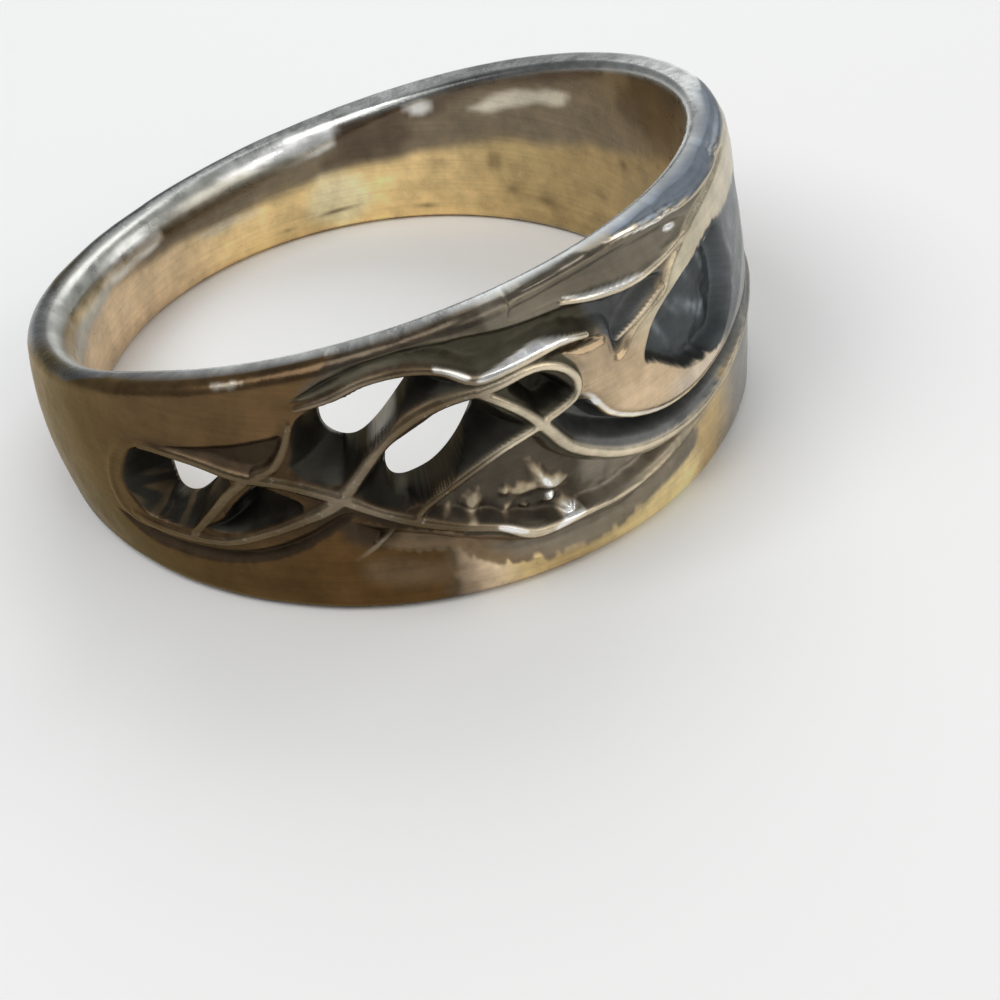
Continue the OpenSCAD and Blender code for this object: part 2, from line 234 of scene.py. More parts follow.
# The raised lines. Columns: angle, height, half width, how far they stand out.
LINES = {
    "lower_stem": [
        (-132, 4.8, 0.12, 0.04), (-128, 4.9, 0.16, 0.07), (-122, 4.85, 0.17, 0.08),
        (-115, 4.6, 0.2, 0.1), (-108, 4.5, 0.22, 0.12), (-101, 4.1, 0.25, 0.13),
        (-96, 3.6, 0.2, 0.12), (-91, 3.15, 0.22, 0.12), (-85, 2.7, 0.18, 0.12),
        (-79, 2.32, 0.16, 0.14), (-75.3, 1.9, 0.2, 0.18), (-72.5, 1.76, 0.2, 0.18),
        (-66, 1.8, 0.13, 0.16), (-60.4, 1.75, 0.08, 0.12), (-55.6, 1.79, 0.06, 0.1),
        (-50, 1.95, 0.05, 0.05), (-48, 2.02, 0.04, 0.01)],
    "cell_end": [
        (-128.5, 5, 0.1, 0.01), (-133, 4.86, 0.18, 0.02), (-137.5, 4.3, 0.22, 0.02),
        (-140, 3.3, 0.24, 0.01), (-139.2, 2.35, 0.22, 0.01), (-136, 2, 0.16, 0.03),
        (-131, 2.05, 0.1, 0.02)],
    "small_spur": [
        (-99.8, 1.95, 0.07, 0.01), (-97.7, 2.25, 0.09, 0.03), (-95.5, 2.62, 0.09, 0.04),
        (-94, 2.9, 0.06, 0.02)],
    "looped_vine": [
        (-136.5, 2.2, 0.12, 0.03), (-132, 2.12, 0.17, 0.08), (-126, 2.15, 0.18, 0.1),
        (-119, 2.3, 0.18, 0.11), (-113, 2.75, 0.18, 0.11), (-107, 3.3, 0.2, 0.12),
        (-101, 3.95, 0.26, 0.13), (-97, 4.85, 0.2, 0.12), (-93, 5.75, 0.22, 0.12),
        (-88, 6.35, 0.24, 0.12), (-83, 6.6, 0.2, 0.13), (-77, 6.65, 0.18, 0.14),
        (-71, 6.8, 0.16, 0.13), (-67, 6.55, 0.15, 0.13), (-64.6, 6, 0.14, 0.12),
        (-65.6, 5.5, 0.12, 0.12), (-70.5, 5.2, 0.15, 0.13)],
    "cell_strut": [
        (-124.5, 2.3, 0.14, 0.06), (-120.5, 3.2, 0.15, 0.08), (-117, 4, 0.17, 0.1),
        (-113.5, 4.6, 0.16, 0.08)],
    "side_strut": [
        (-112.5, 4.7, 0.16, 0.08), (-109.5, 5, 0.15, 0.08), (-107.5, 5.6, 0.13, 0.08),
        (-106.3, 6.3, 0.08, 0.04)],
    "upper_vine": [
        (-105, 6.75, 0.08, 0.04), (-100, 7.05, 0.12, 0.08), (-95, 7.45, 0.13, 0.1),
        (-89, 7.6, 0.14, 0.12), (-84, 7.45, 0.15, 0.16), (-79.5, 7, 0.2, 0.18),
        (-74, 7.1, 0.16, 0.22), (-67, 7.3, 0.15, 0.24), (-62, 7.1, 0.1, 0.1)],
    "long_branch": [
        (-79.5, 6.6, 0.16, 0.12), (-76.5, 6.2, 0.16, 0.15), (-73, 5.6, 0.16, 0.16),
        (-70.5, 5, 0.2, 0.18), (-67.5, 4.22, 0.2, 0.18), (-63.5, 3.66, 0.2, 0.18),
        (-58, 3.12, 0.19, 0.18), (-51, 2.76, 0.17, 0.18), (-43, 2.66, 0.14, 0.18),
        (-35, 2.76, 0.13, 0.18), (-27, 2.95, 0.12, 0.16), (-15, 3.1, 0.12, 0.12),
        (0, 3.2, 0.1, 0.08), (18, 3.1, 0.06, 0.02)],
    "short_branch": [
        (-90.5, 3.2, 0.12, 0.1), (-88.5, 3.6, 0.12, 0.1), (-83, 4.25, 0.12, 0.12),
        (-77, 4.8, 0.12, 0.14), (-71.5, 5.1, 0.13, 0.14)],
    "upper_vein": [
        (-65, 8.2, 0.06, 0.03), (-60, 8.05, 0.13, 0.18), (-53, 7.85, 0.13, 0.2),
        (-46, 7.85, 0.12, 0.16), (-37, 7.95, 0.08, 0.04)],
    "rim_vein": [
        (-55, 9.08, 0.04, 0.02), (-51, 9.02, 0.06, 0.05), (-46, 8.9, 0.07, 0.09),
        (-41, 8.78, 0.08, 0.11), (-37, 8.68, 0.08, 0.12), (-32, 8.6, 0.08, 0.12),
        (-26, 8.58, 0.08, 0.1), (-18, 8.6, 0.06, 0.06), (-8, 8.4, 0.05, 0.02)],
    "leaf_rib": [
        (-57, 6.5, 0.05, 0.03), (-54, 6.68, 0.07, 0.08), (-50, 6.92, 0.07, 0.08),
        (-46.5, 7.12, 0.06, 0.06)],
}

# The pierced cells: outlines on the outside and at the finger hole. Columns: angle, height.
CELLS = {
    "round": (
        [(-137.5, 3.2), (-136, 4.1), (-134, 4.6), (-131, 4.8), (-127, 4.75), (-122, 4.7),
         (-117.5, 4.5), (-116.3, 4.3), (-117.5, 3.9), (-120, 3.35), (-123, 2.7), (-125.5, 2.4),
         (-130, 2.35), (-134, 2.45)],
        [(-133.1, 2.95), (-133.3, 4), (-131, 4.5), (-126, 4.6), (-121, 4.55), (-118.8, 4.35),
         (-121, 3.9), (-123.4, 3.42), (-125.7, 3.02), (-128, 2.7), (-130.4, 2.55), (-132.3, 2.6)]),
    "wedge": (
        [(-122.5, 2.65), (-119, 3.1), (-117, 3.55), (-115, 4), (-113, 4.35), (-111.5, 4.35),
         (-109, 4.15), (-106.3, 3.9), (-106.2, 3.55), (-108, 3.3), (-111, 3), (-114, 2.75),
         (-117, 2.6), (-120, 2.5)],
        [(-118.5, 3.3), (-117, 3.6), (-114.5, 4), (-112, 4.25), (-108.8, 4.05), (-109, 3.8),
         (-113, 3.5), (-116.5, 3.3)]),
    "tall": (
        [(-107.5, 4.9), (-106.8, 5.4), (-106.3, 6), (-105, 6.5), (-101, 6.88), (-98, 7.05),
         (-95, 7.3), (-91, 7.47), (-88, 7.47), (-85, 7.35), (-82, 7.1), (-80.8, 6.85), (-84, 6.75),
         (-87, 6.6), (-90, 6.4), (-93, 5.95), (-95, 5.5), (-97, 5.1), (-99, 4.6), (-101, 4.4),
         (-104, 4.4)],
        [(-103.2, 5.75), (-102.8, 6.5), (-100, 6.85), (-96, 7.05), (-91.5, 7.3), (-87.2, 7.25),
         (-88.5, 6.85), (-91, 6.3), (-94, 5.7), (-97, 5.25), (-99.5, 5.15), (-102, 5.35)]),
    "long": (
        [(-98.3, 4.2), (-97, 4.6), (-95.5, 4.95), (-94, 5.4), (-90, 5.85), (-87.5, 6.1),
         (-85, 6.35), (-82.5, 6.48), (-80, 6.45), (-78, 6.15), (-76, 5.8), (-74, 5.5), (-72.8, 5.2),
         (-74.5, 4.95), (-80, 4.6), (-83, 4.25), (-86, 3.9), (-89, 3.65), (-92.5, 3.45), (-95, 3.6),
         (-97, 3.85)],
        [(-94.1, 4.2), (-93.2, 4.75), (-91, 5.3), (-87.5, 5.72), (-84, 6.1), (-81, 6.3),
         (-79.3, 6.2), (-78.9, 5.7), (-80.8, 5.05), (-83.4, 4.45), (-86.5, 3.98), (-89.6, 3.74),
         (-92, 3.66), (-93.6, 3.8)]),
}

# Colours of the silver and of what lies on it, linear
HIGHLIGHT_WHITE = (0.98, 0.98, 0.95)
BRIGHT = (0.88, 0.83, 0.74)
SILVER = (0.56, 0.56, 0.53)
PEWTER = (0.34, 0.3, 0.24)
GREY = (0.28, 0.28, 0.26)
CREAM = (0.66, 0.57, 0.42)
PALE_TAN = (0.52, 0.44, 0.31)
DULL_TAN = (0.24, 0.19, 0.13)
ROSE = (0.5, 0.38, 0.26)
PEACH = (0.83, 0.66, 0.45)
GOLD = (0.74, 0.57, 0.28)
OLD_GOLD = (0.6, 0.44, 0.21)
BRIGHT_GOLD = (1, 0.81, 0.43)
LEAF_TAN = (0.6, 0.45, 0.29)
LIMB = (0.54, 0.48, 0.35)
BRONZE = (0.17, 0.112, 0.06)
BROWN = (0.09, 0.057, 0.028)
DEEP_BROWN = (0.07, 0.045, 0.023)
DARK_BROWN = (0.12, 0.065, 0.024)
SEPIA = (0.13, 0.095, 0.055)
UMBER = (0.055, 0.038, 0.024)
TAUPE = (0.115, 0.098, 0.074)
OLIVE = (0.22, 0.195, 0.15)
KHAKI = (0.27, 0.235, 0.18)
DUSTY = (0.108, 0.092, 0.07)
GROOVE = (0.23, 0.165, 0.1)
DUSK = (0.085, 0.077, 0.055)
SLATE = (0.12, 0.125, 0.125)
STEEL = (0.215, 0.25, 0.295)
LEAD = (0.088, 0.098, 0.102)
# Painted shadow in the oval
LEAD_SHADOW = (0.038, 0.043, 0.043)
BLUE_GREY = (0.15, 0.165, 0.172)
PALE_BLUE = (0.34, 0.38, 0.4)
ASH = (0.17, 0.172, 0.168)
MIST = (0.21, 0.215, 0.2)
BLACK = (0.038, 0.036, 0.03)
SMOKE = (0.05, 0.047, 0.036)
# Painted reflections, highlights and shade on the finger hole's wall
GOLD_REFLECTION = (0.95, 0.7, 0.34)
YELLOW_GLINT = (0.95, 0.86, 0.55)
PALE_SHEEN = (0.8, 0.74, 0.6)
ROSE_REFLECTION = (0.82, 0.62, 0.4)
BROWN_REFLECTION = (0.23, 0.185, 0.125)
WALL_SHADE = (0.11, 0.08, 0.058)
GREY_REFLECTION = (0.56, 0.56, 0.51)
# A stain on that wall, and the tint of brown tarnish at a flat angle
INNER_SPOT = (0.16, 0.11, 0.06)
FLAT_TARNISH = (0.93, 0.82, 0.62)

# The blind hollows: outline, depth, how wide their sloping edge is, and colour
HOLLOWS = {
    "small_cell": ([
        (-75.2, 6.4), (-74.5, 6.6), (-72.5, 6.68), (-70, 6.6), (-68, 6.4), (-66, 6), (-65.2, 5.7),
        (-65.6, 5.5), (-68, 5.45), (-70, 5.4), (-71.5, 5.5), (-73, 5.85),
        (-74.5, 6.15)], 0.7, 0.3, SMOKE),
    "crescent": ([
        (-69.2, 5.1), (-67, 5.38), (-65, 5.4), (-63, 5.25), (-61.8, 4.92), (-59.8, 4.46),
        (-56.6, 4.07), (-53, 3.77), (-49, 3.55), (-45, 3.46), (-40, 3.43), (-34, 3.5), (-26, 3.62),
        (-16, 3.62), (-4, 3.5), (-14, 3.35), (-25, 3.08), (-35, 2.92), (-45, 2.82), (-50, 2.92),
        (-54, 3.1), (-58, 3.4), (-62, 3.77), (-65.5, 4.18), (-67.8, 4.6)], 0.8, 0.38, ASH),
    "lumpy_field": ([
        (-89.6, 3.2), (-88.5, 3.42), (-86, 3.75), (-83, 4.05), (-80, 4.38), (-76, 4.68),
        (-73, 4.85), (-71.5, 4.75), (-70, 4.3), (-67.8, 3.88), (-65, 3.5), (-61, 3.12), (-57, 2.78),
        (-52, 2.5), (-46, 2.42), (-40, 2.45), (-33, 2.55), (-41, 2.3), (-47, 2.18), (-52, 2.02),
        (-57, 1.88), (-63, 1.78), (-69, 1.86), (-73, 2), (-78, 2.35), (-83, 2.75),
        (-87, 3.02)], 0.44, 0.22, DUSTY),
    "brow": ([
        (-106, 6.95), (-103, 7.35), (-99, 7.75), (-94, 8.02), (-88, 8.2), (-81, 8.25), (-75, 8.18),
        (-70, 8.14), (-64, 8.12), (-60, 7.97), (-56, 7.78), (-52, 7.7), (-48, 7.64), (-45.6, 7.42),
        (-47, 7.18), (-50, 7.02), (-53, 6.82), (-55.2, 6.55), (-56.6, 6.25), (-57.7, 6.22),
        (-58.2, 6.6), (-58.8, 6.98), (-62, 7.12), (-66, 7.4), (-71, 7.35), (-76, 7.25), (-80, 7.2),
        (-84, 7.6), (-89, 7.75), (-94, 7.62), (-99, 7.3), (-103, 7.02)], 0.34, 0.34, DUSK),
    "vein_panel": ([
        (-73, 8.2), (-73.6, 8.4), (-72.8, 8.62), (-67.5, 8.82), (-61, 8.96), (-55, 8.96),
        (-49, 8.84), (-43, 8.68), (-39.5, 8.5), (-37.6, 8.3), (-39, 8.14), (-42.5, 8.06),
        (-47, 7.98), (-54, 8.02), (-60, 8.2), (-66, 8.26)],
        0.18, 0.32, OLIVE),
    "rim_bevel": ([
        (-54, 9.2), (-51, 9.1), (-46, 8.98), (-41, 8.86), (-37, 8.76), (-32, 8.68), (-26, 8.66),
        (-18, 8.68), (0, 8.3), (0, 8.4), (-10, 8.8), (-22, 9.07), (-34, 9.2),
        (-45, 9.26)], 0.1, 0.1, STEEL),
    "rim_crease": ([
        (-73, 8.84), (-69, 8.93), (-64, 9.03), (-59.5, 9.1), (-57.5, 9.16), (-60, 9.24),
        (-64, 9.16), (-69, 9.05)],
        0.12, 0.08, BLACK),
    "vein_sliver": ([
        (-46.5, 7.55), (-43, 7.8), (-39.5, 7.98), (-38.5, 8.05), (-42, 7.97),
        (-45.5, 7.78)], 0.12, 0.1, DUSK),
    "vine_gap": ([
        (-69, 6.98), (-65, 7.14), (-62, 6.98), (-59.4, 6.88), (-60.2, 6.78), (-64, 6.8),
        (-68, 6.86)], 0.2, 0.1, DUSK),
    "left_panel": ([
        (-129.5, 4.98), (-124, 5.25), (-119, 5.48), (-114.5, 5.68), (-110, 5.92), (-107.6, 6),
        (-107.8, 5.4), (-110.6, 4.8), (-115.3, 4.68), (-121.4, 4.9)], 0.24, 0.3, UMBER),
    "lower_groove": ([
        (-99.5, 3.3), (-95, 3.05), (-90, 2.85), (-85, 2.45), (-80, 2.12), (-76, 1.82), (-72, 1.62),
        (-66, 1.62), (-60, 1.58), (-55, 1.66), (-50, 1.82), (-45, 2.05), (-41, 2.25), (-42, 2.1),
        (-45, 1.75), (-50, 1.35), (-55, 0.95), (-60, 0.68), (-66, 0.6), (-72, 0.66), (-79.5, 0.95),
        (-83, 1.3), (-84.9, 1.8), (-88, 2), (-93, 2.1), (-98, 2.6)], 0.26, 0.42, GROOVE),
    "left_groove": ([
        (-141, 2), (-136, 1.98), (-130, 1.92), (-124, 1.94), (-118, 2.06), (-112, 2.4), (-106, 3),
        (-101, 3.58), (-98.5, 3.5), (-102, 2.9), (-107, 2.25), (-113, 1.72), (-120, 1.4),
        (-128, 1.28), (-135, 1.35)],
        0.26, 0.34, UMBER),
    "oval": ([
        (-52.9, 5.6), (-51.8, 6.05), (-50, 6.45), (-47, 6.76), (-43, 7.02), (-39, 7.17),
        (-35, 7.27), (-31, 7.34), (-29.2, 7.1), (-28.3, 6.5), (-27.6, 5.9), (-27.6, 5.35),
        (-28.7, 4.85), (-30.8, 4.38), (-33.6, 4.1), (-37, 4.04), (-41, 4.1), (-45, 4.35),
        (-48.3, 4.75), (-50.6, 5.15), (-52.4, 5.35)], 0.42, 0.3, LEAD),
}

# The polished leaf round the oval: its outline, how far it stands out, and its edge's width
LEAF = [
    (-70.5, 5.3), (-67, 5.5), (-64.5, 5.5), (-62.8, 5.3), (-61.7, 4.96), (-59.8, 4.5), (-56.6, 4.1),
    (-53, 3.8), (-49, 3.58), (-45, 3.49), (-40, 3.47), (-34, 3.55), (-27, 3.85), (-21, 4.5),
    (-17, 5.3), (-16, 6.2), (-14, 7), (-8, 7.3), (0, 7.5), (5, 7.7), (0, 8), (-8, 8.3), (-16, 8.48),
    (-22.4, 8.53), (-30, 8.42), (-36, 8.3), (-40, 8.02), (-43.6, 7.7), (-45.4, 7.4), (-47, 7.1),
    (-50, 6.96), (-53, 6.76), (-55.2, 6.5), (-56.6, 6.2), (-57.8, 6.2), (-58.6, 6.8), (-62, 6.84),
    (-66, 6.86), (-64.4, 6.4), (-64, 5.95), (-65, 5.6)]
LEAF_STAND, LEAF_EDGE = 0.1, 0.25
# Hollows whose tarnish ends in a very ragged edge, and how ragged it is
RAGGED = {"lower_groove": 1, "oval": 0.45}

# Lumps in the lumpy field. Columns: angle, height, half length, half width, turn, how far out.
LUMPS = [
    (-82.2, 3.1, 0.46, 0.32, 75, 0.22), (-74.7, 3.04, 0.5, 0.22, -10, 0.22),
    (-71.8, 3.42, 0.48, 0.22, -62, 0.26), (-69.6, 2.95, 0.5, 0.28, -12, 0.28),
    (-70.5, 2.46, 0.24, 0.13, 20, 0.2), (-68, 2.02, 0.34, 0.24, -30, 0.46),
    (-77.5, 2.6, 0.28, 0.18, 40, 0.14), (-83.2, 2.6, 0.24, 0.18, 20, 0.15),
    (-77.2, 3.2, 0.2, 0.14, 70, 0.16), (-86.2, 3.1, 0.2, 0.14, 30, 0.14),
    (-74.4, 2.5, 0.16, 0.12, -30, 0.14)]
# Pale streaks in the oval, in the same way, but with how pale they are
OVAL_STREAKS = [
    (-46.8, 5.7, 0.8, 0.16, -61, 0.6), (-42.5, 5.9, 0.6, 0.14, -50, 0.4),
    (-37.5, 5.4, 1.1, 0.22, -40, 0.7), (-34, 4.95, 0.38, 0.22, 0, 0.8),
    (-33.2, 6.5, 0.6, 0.14, -75, 0.5), (-38, 6.6, 0.6, 0.3, -60, 0.35),
    (-26.5, 6.1, 0.5, 0.12, -70, 0.4), (-27.5, 5.2, 0.4, 0.14, -60, 0.35),
    (-24, 6.5, 0.4, 0.16, -60, 0.3)]

# Depths where the hollows' roughness sets in, width of the lumpy field's and the oval's edge, and
# how far from a hole the outside is fully uneven
ROUGH_DEPTHS, FIELD_EDGE, OVAL_EDGE, CALM = (0.05, 0.3), 0.25, 0.3, 1.5
# A raised line's sides: how steeply they go on down, and the fillet at their foot
SIDE_SLOPE, FILLET, LEAST_HALF = 3, 0.08, 0.02
# A cell's wall: how much of its fall is even, and over which share of it streaks set in
EVEN_FALL, STREAKS_FROM = 0.35, (0.1, 0.4)
# Rounding of the cells' edge at the finger hole, outwards and along its wall
EDGE_OUT, EDGE_WIDE = 0.1, 0.15
RIM_SINKS = 0.7  # how much of a hollow's depth the rim's rounding follows
SPOT_EDGE = 1.5  # how fast a spot fades

PATHS = [bend(rows, LINE_STEPS, False) for rows in LINES.values()]


def spot_shares(spots, angle, height):
    """Soft oval spots, each as strong in its middle as its row says."""
    total = np.zeros(angle.shape)
    for a, z, long, wide, turn, strength in spots:
        u, v = (angle - a) * ARC, height - z
        along = u * cosd(turn) + v * sind(turn)
        across = -u * sind(turn) + v * cosd(turn)
        total = total + strength * np.exp(-((along / long) ** 2 + (across / wide) ** 2) * SPOT_EDGE)
    return np.clip(total, 0, 1)


def carve(angle, height):
    """How far the carved outside stands off the plain skin, and how far the nearest hole is."""
    gaps = {name: to_outline(angle, height, rows) for name, (rows, _, _, _) in HOLLOWS.items()}
    base = np.zeros(angle.shape)
    for name, (_, depth, edge, _) in HOLLOWS.items():
        base = np.minimum(base, -depth * smooth(0, edge, -gaps[name]))
    base = base + grain("hollows", angle, height) * smooth(*ROUGH_DEPTHS, -base)
    in_field = smooth(0, FIELD_EDGE, -gaps["lumpy_field"])
    base = base + in_field * spot_shares(LUMPS, angle, height)
    in_oval = smooth(0, OVAL_EDGE, -gaps["oval"])
    base = base + in_oval * grain("oval", angle, height)
    leaf = to_outline(angle, height, LEAF)
    base = base + LEAF_STAND * smooth(0, LEAF_EDGE, -leaf) * (1 - in_oval)

    hole = np.full(angle.shape, FAR)
    wall = skin(angle, height) - BORE_R
    for outside, inside in CELLS.values():
        to_out = to_outline(angle, height, outside)
        to_in = to_outline(angle, height, inside)
        within = np.clip(-to_out, 0, None)
        share = within / (within + np.clip(to_in, 1e-4, None))
        fall = mix(smooth(0, 1, share), share, EVEN_FALL)
        streaks = grain("cell_walls", angle, height) * smooth(*STREAKS_FROM, share) * (1 - share)
        base = np.where(to_out < 0, np.minimum(base, -wall * fall + streaks), base)
        hole = np.minimum(hole, to_in)

    top = base
    for path in PATHS:
        distance, half, stand = near_path(angle, height, path, LINE_REACH)
        share = np.clip(distance / np.maximum(half, LEAST_HALF), 0, 1)
        round_top = stand - half * (1 - np.sqrt(1 - share * share))
        ridge = round_top - SIDE_SLOPE * np.maximum(distance - half, 0)
        top = blend_max(top, np.where(distance < FAR, ridge, -FAR), FILLET)
    return top + grain("outside", angle, height) * smooth(0, CALM, hole), hole


def column_angles():
    """Angles of the mesh's columns: fine in the carving, then wider and wider."""
    mirror = CARVED[0] + 360 + CARVED[1]
    step, angle, after = FINE_STEP, CARVED[1], []
    while angle < mirror / 2:
        after.append(angle)
        step = min(step * STEP_GROWTH, PLAIN_STEP)
        angle += step
    before = [mirror - a for a in after[1:]][::-1]
    return np.array([*np.arange(*CARVED, FINE_STEP), *after, *before])


def section_grid(angles):
    """Heights and radii of the outside and the finger hole's wall, and distances to the holes."""
    top = rim(angles)[:, None]
    share = np.linspace(0, 1, FACE_ROWS)[None]
    face_z = mix(RIM_ROUND, top - RIM_ROUND, share)
    angle = np.broadcast_to(angles[:, None], face_z.shape)
    stand, hole = carve(angle, face_z)
    edge = EDGE_OUT * np.clip(1 - hole / EDGE_WIDE, 0, 1) ** 2
    inner = inner_wall(angle, face_z) + np.where(hole > 0, edge, EDGE_OUT)
    return face_z, np.maximum(skin(angle, face_z) + stand, inner), inner, hole


def rim_rows(angles, upper, outer_edge):
    """Radii and heights over a rim, from the outside in, with a rounded outer and inner edge."""
    side = 1 if upper else -1
    edge = rim(angles)[:, None] if upper else np.zeros((len(angles), 1))
    base = edge - side * RIM_ROUND
    turn = np.linspace(0, 90, ROUND_ROWS + 1)[None, 1:]
    angle = np.broadcast_to(angles[:, None], (len(angles), ROUND_ROWS))
    stand, _ = carve(angle, base + side * RIM_ROUND * np.radians(turn))
    plain = skin(angle, base)
    lift = stand - stand[:, :1] + (outer_edge[:, None] - plain)
    r = plain - RIM_ROUND + (RIM_ROUND + lift) * cosd(turn)
    z = base + side * (RIM_ROUND + np.minimum(lift, 0) * RIM_SINKS) * sind(turn)

    wide, tall = (size[:, None] for size in inner_round(angles)) if upper else [INNER_ROUND] * 2
    start = np.degrees(np.arcsin(1 - np.minimum(RIM_ROUND / tall, 1)))
    back = mix(start, 90, np.linspace(1, 0, BEVEL_ROWS + 1)[None, :-1]) + 0 * edge
    inner_r = BORE_R + wide * (1 - cosd(back))
    inner_z = edge - side * tall * (1 - sind(back))
    return np.hstack([r, inner_r]), np.hstack([z, inner_z])


def band_mesh():
    """The whole ring as one closed mesh, cut open where the pierced cells go through."""
    angles = column_angles()
    columns = len(angles)
    face_z, outer, inner, hole = section_grid(angles)
    low_r, low_z = rim_rows(angles, False, outer[:, 0])
    top_r, top_z = rim_rows(angles, True, outer[:, -1])
    # A section runs up the outside, over the upper rim, down the finger hole and under the ring
    r = np.hstack([outer, top_r, inner[:, ::-1], low_r[:, ::-1]])
    z = np.hstack([face_z, top_z, face_z[:, ::-1], low_z[:, ::-1]])
    count = r.shape[1]
    turn = np.radians(angles)[:, None]
    places = np.stack([r * np.cos(turn), r * np.sin(turn), z], -1).reshape(-1, 3)

    index = np.arange(columns * count).reshape(columns, count)
    after = np.roll(index, -1, 0)
    quads = np.stack([index, after, np.roll(after, -1, 1), np.roll(index, -1, 1)], -1)
    start = FACE_ROWS + top_r.shape[1]
    is_hole = np.zeros((columns, count), bool)
    is_hole[:, :FACE_ROWS] = hole < 0
    is_hole[:, start:start + FACE_ROWS] = hole[:, ::-1] < 0
    flags = is_hole.reshape(-1)[quads].sum(-1)
    faces = quads[flags == 0].tolist()

    cut_places, cut_index = [], {}

    def cut(i, j, k, m):
        """The shared point where a grid edge crosses the edge of a hole."""
        key = (i, j, k, m) if (i, j) < (k, m) else (k, m, i, j)
        if key not in cut_index:
            p, q = hole[i, j], hole[k, m]
            share = p / (p - q)
            a = angles[i] + share * ((angles[k] - angles[i] + 180) % 360 - 180)
            height = mix(face_z[i, j], face_z[k, m], share)
            cut_index[key] = len(places) + len(cut_places)
            edge_r = BORE_R + EDGE_OUT
            cut_places.append((edge_r * cosd(a), edge_r * sind(a), height))
        return cut_index[key]

    crossed = (flags[:, :FACE_ROWS - 1] > 0) & (flags[:, :FACE_ROWS - 1] < 4)
    for i, j in zip(*np.nonzero(crossed)):
        corners = [(i, j), ((i + 1) % columns, j), ((i + 1) % columns, j + 1), (i, j + 1)]
        outside, inside = [], []
        for p, q in zip(corners, corners[1:] + corners[:1]):
            if hole[p] >= 0:
                outside.append(int(index[p]))
                inside.append(int(index[p[0], start + FACE_ROWS - 1 - p[1]]))
            if (hole[p] >= 0) != (hole[q] >= 0):
                shared = cut(*p, *q)
                outside.append(shared)
                inside.append(shared)
        if len(outside) > 2:
            faces += [outside, inside[::-1]]
    places = np.vstack([places, *cut_places])

    used = np.zeros(len(places), bool)
    for face in faces:
        used[face] = True
    renumber = np.cumsum(used) - 1
    mesh = bpy.data.meshes.new("band")
    mesh.from_pydata(places[used].tolist(), [], [renumber[face].tolist() for face in faces])
    mesh.validate()
    return mesh


def colour_steps(mesh, tone):
    """How sharply the colour changes at each vertex, from a little to 1."""
    ends = np.empty(len(mesh.edges) * 2, int)
    mesh.edges.foreach_get("vertices", ends)
    first, second = ends.reshape(-1, 2).T
    step = np.abs(np.sqrt(tone[first]) - np.sqrt(tone[second])).max(-1)
    most = np.zeros(len(tone))
    np.maximum.at(most, first, step)
    np.maximum.at(most, second, step)
    return np.clip(most / COLOUR_STEP, LEAST_CARE, 1)


def thin_out(piece, care):
    """Takes out triangles down to the most there may be, fewer of them where care is called for."""
    piece.data.calc_loop_triangles()
    plain = piece.vertex_groups.new(name="plain")
    levels = np.round((1 - care) * CARE_LEVELS).astype(int)
    for level in range(CARE_LEVELS + 1):
        plain.add(np.nonzero(levels == level)[0].tolist(), level / CARE_LEVELS, "REPLACE")
    thinner = piece.modifiers.new("thinner", "DECIMATE")
    thinner.ratio = MOST_TRIANGLES / len(piece.data.loop_triangles)
    thinner.vertex_group = plain.name
    thinner.vertex_group_factor = CARE_FACTOR
    depsgraph = bpy.context.evaluated_depsgraph_get()
    mesh = bpy.data.meshes.new_from_object(piece.evaluated_get(depsgraph))
    piece.modifiers.clear()
    piece.vertex_groups.clear()
    piece.data = mesh


# The plain outside and the raised lines, as colours that run into each other round the band
# The plain outside's browns and golds are partly tarnish and partly painted reflection of warm
# surroundings
OUTSIDE = [(-260, SILVER), (-195, PEWTER), (-170, BRONZE), (-154, DEEP_BROWN), (-142, BROWN),
           (-100, DARK_BROWN), (-89, DARK_BROWN), (-85.5, SEPIA), (-82.5, ROSE), (-79.5, PEACH),
           (-75, GOLD), (-71, OLD_GOLD), (-67, OLD_GOLD), (-64, GOLD), (-56, BRIGHT_GOLD),
           (-45, BRIGHT_GOLD), (-41, OLD_GOLD), (-36, OLD_GOLD), (-30, PEWTER), (-20, GREY),
           (70, PEWTER), (100, SILVER)]
RAISED = [(-260, SILVER), (-160, BROWN), (-134, BROWN), (-122, SEPIA), (-106, SEPIA),
          (-101, DULL_TAN), (-96, DULL_TAN), (-91, SEPIA), (-85, SEPIA), (-80, DULL_TAN),
          (-76, CREAM), (-50, CREAM), (-42, PALE_TAN), (-30, PALE_TAN), (-15, GREY), (100, SILVER)]
# The dark metal beside the raised lines
FLANKS = [(-260, BROWN), (-150, BROWN), (-140, UMBER), (-88, UMBER), (-80, DUSK), (-30, DUSK),
          (-15, GREY), (100, SILVER)]

# The bare strip on the upper rim. Columns: angle, and how bright the strip or its inner lip is,
# or how far out from the finger hole the strip goes.
# The strip's and lip's brightness round the band is painted highlight and shade
STRIP = [(-260, 0.28), (-248, 0.25), (-232, 0.15), (-220, 0.1), (-196, 0.06), (-184, 0.16),
         (-172, 0.09), (-160, 0.04), (-150, 0.08), (-135, 0.22), (-120, 0.75), (-105, 0.85),
         (-90, 0.34), (-75, 0.34), (-60, 0.3), (-50, 0.18), (-30, 0.11), (-15, 0.16), (8, 1),
         (22, 0.85), (40, 0.36), (68, 0.32), (80, 0.65), (92, 0.45), (100, 0.34)]
LIP = [(-260, 0.3), (-150, 0.3), (-120, 0.6), (-90, 1), (-75, 0.8), (-60, 0.25), (-45, 0.5),
       (-30, 0.85), (-15, 0.9), (0, 0.6), (8, 0.4), (22, 0.5), (35, 0.3), (56, 0.18), (68, 0.08),
       (80, 0.12), (92, 0.1), (100, 0.3)]
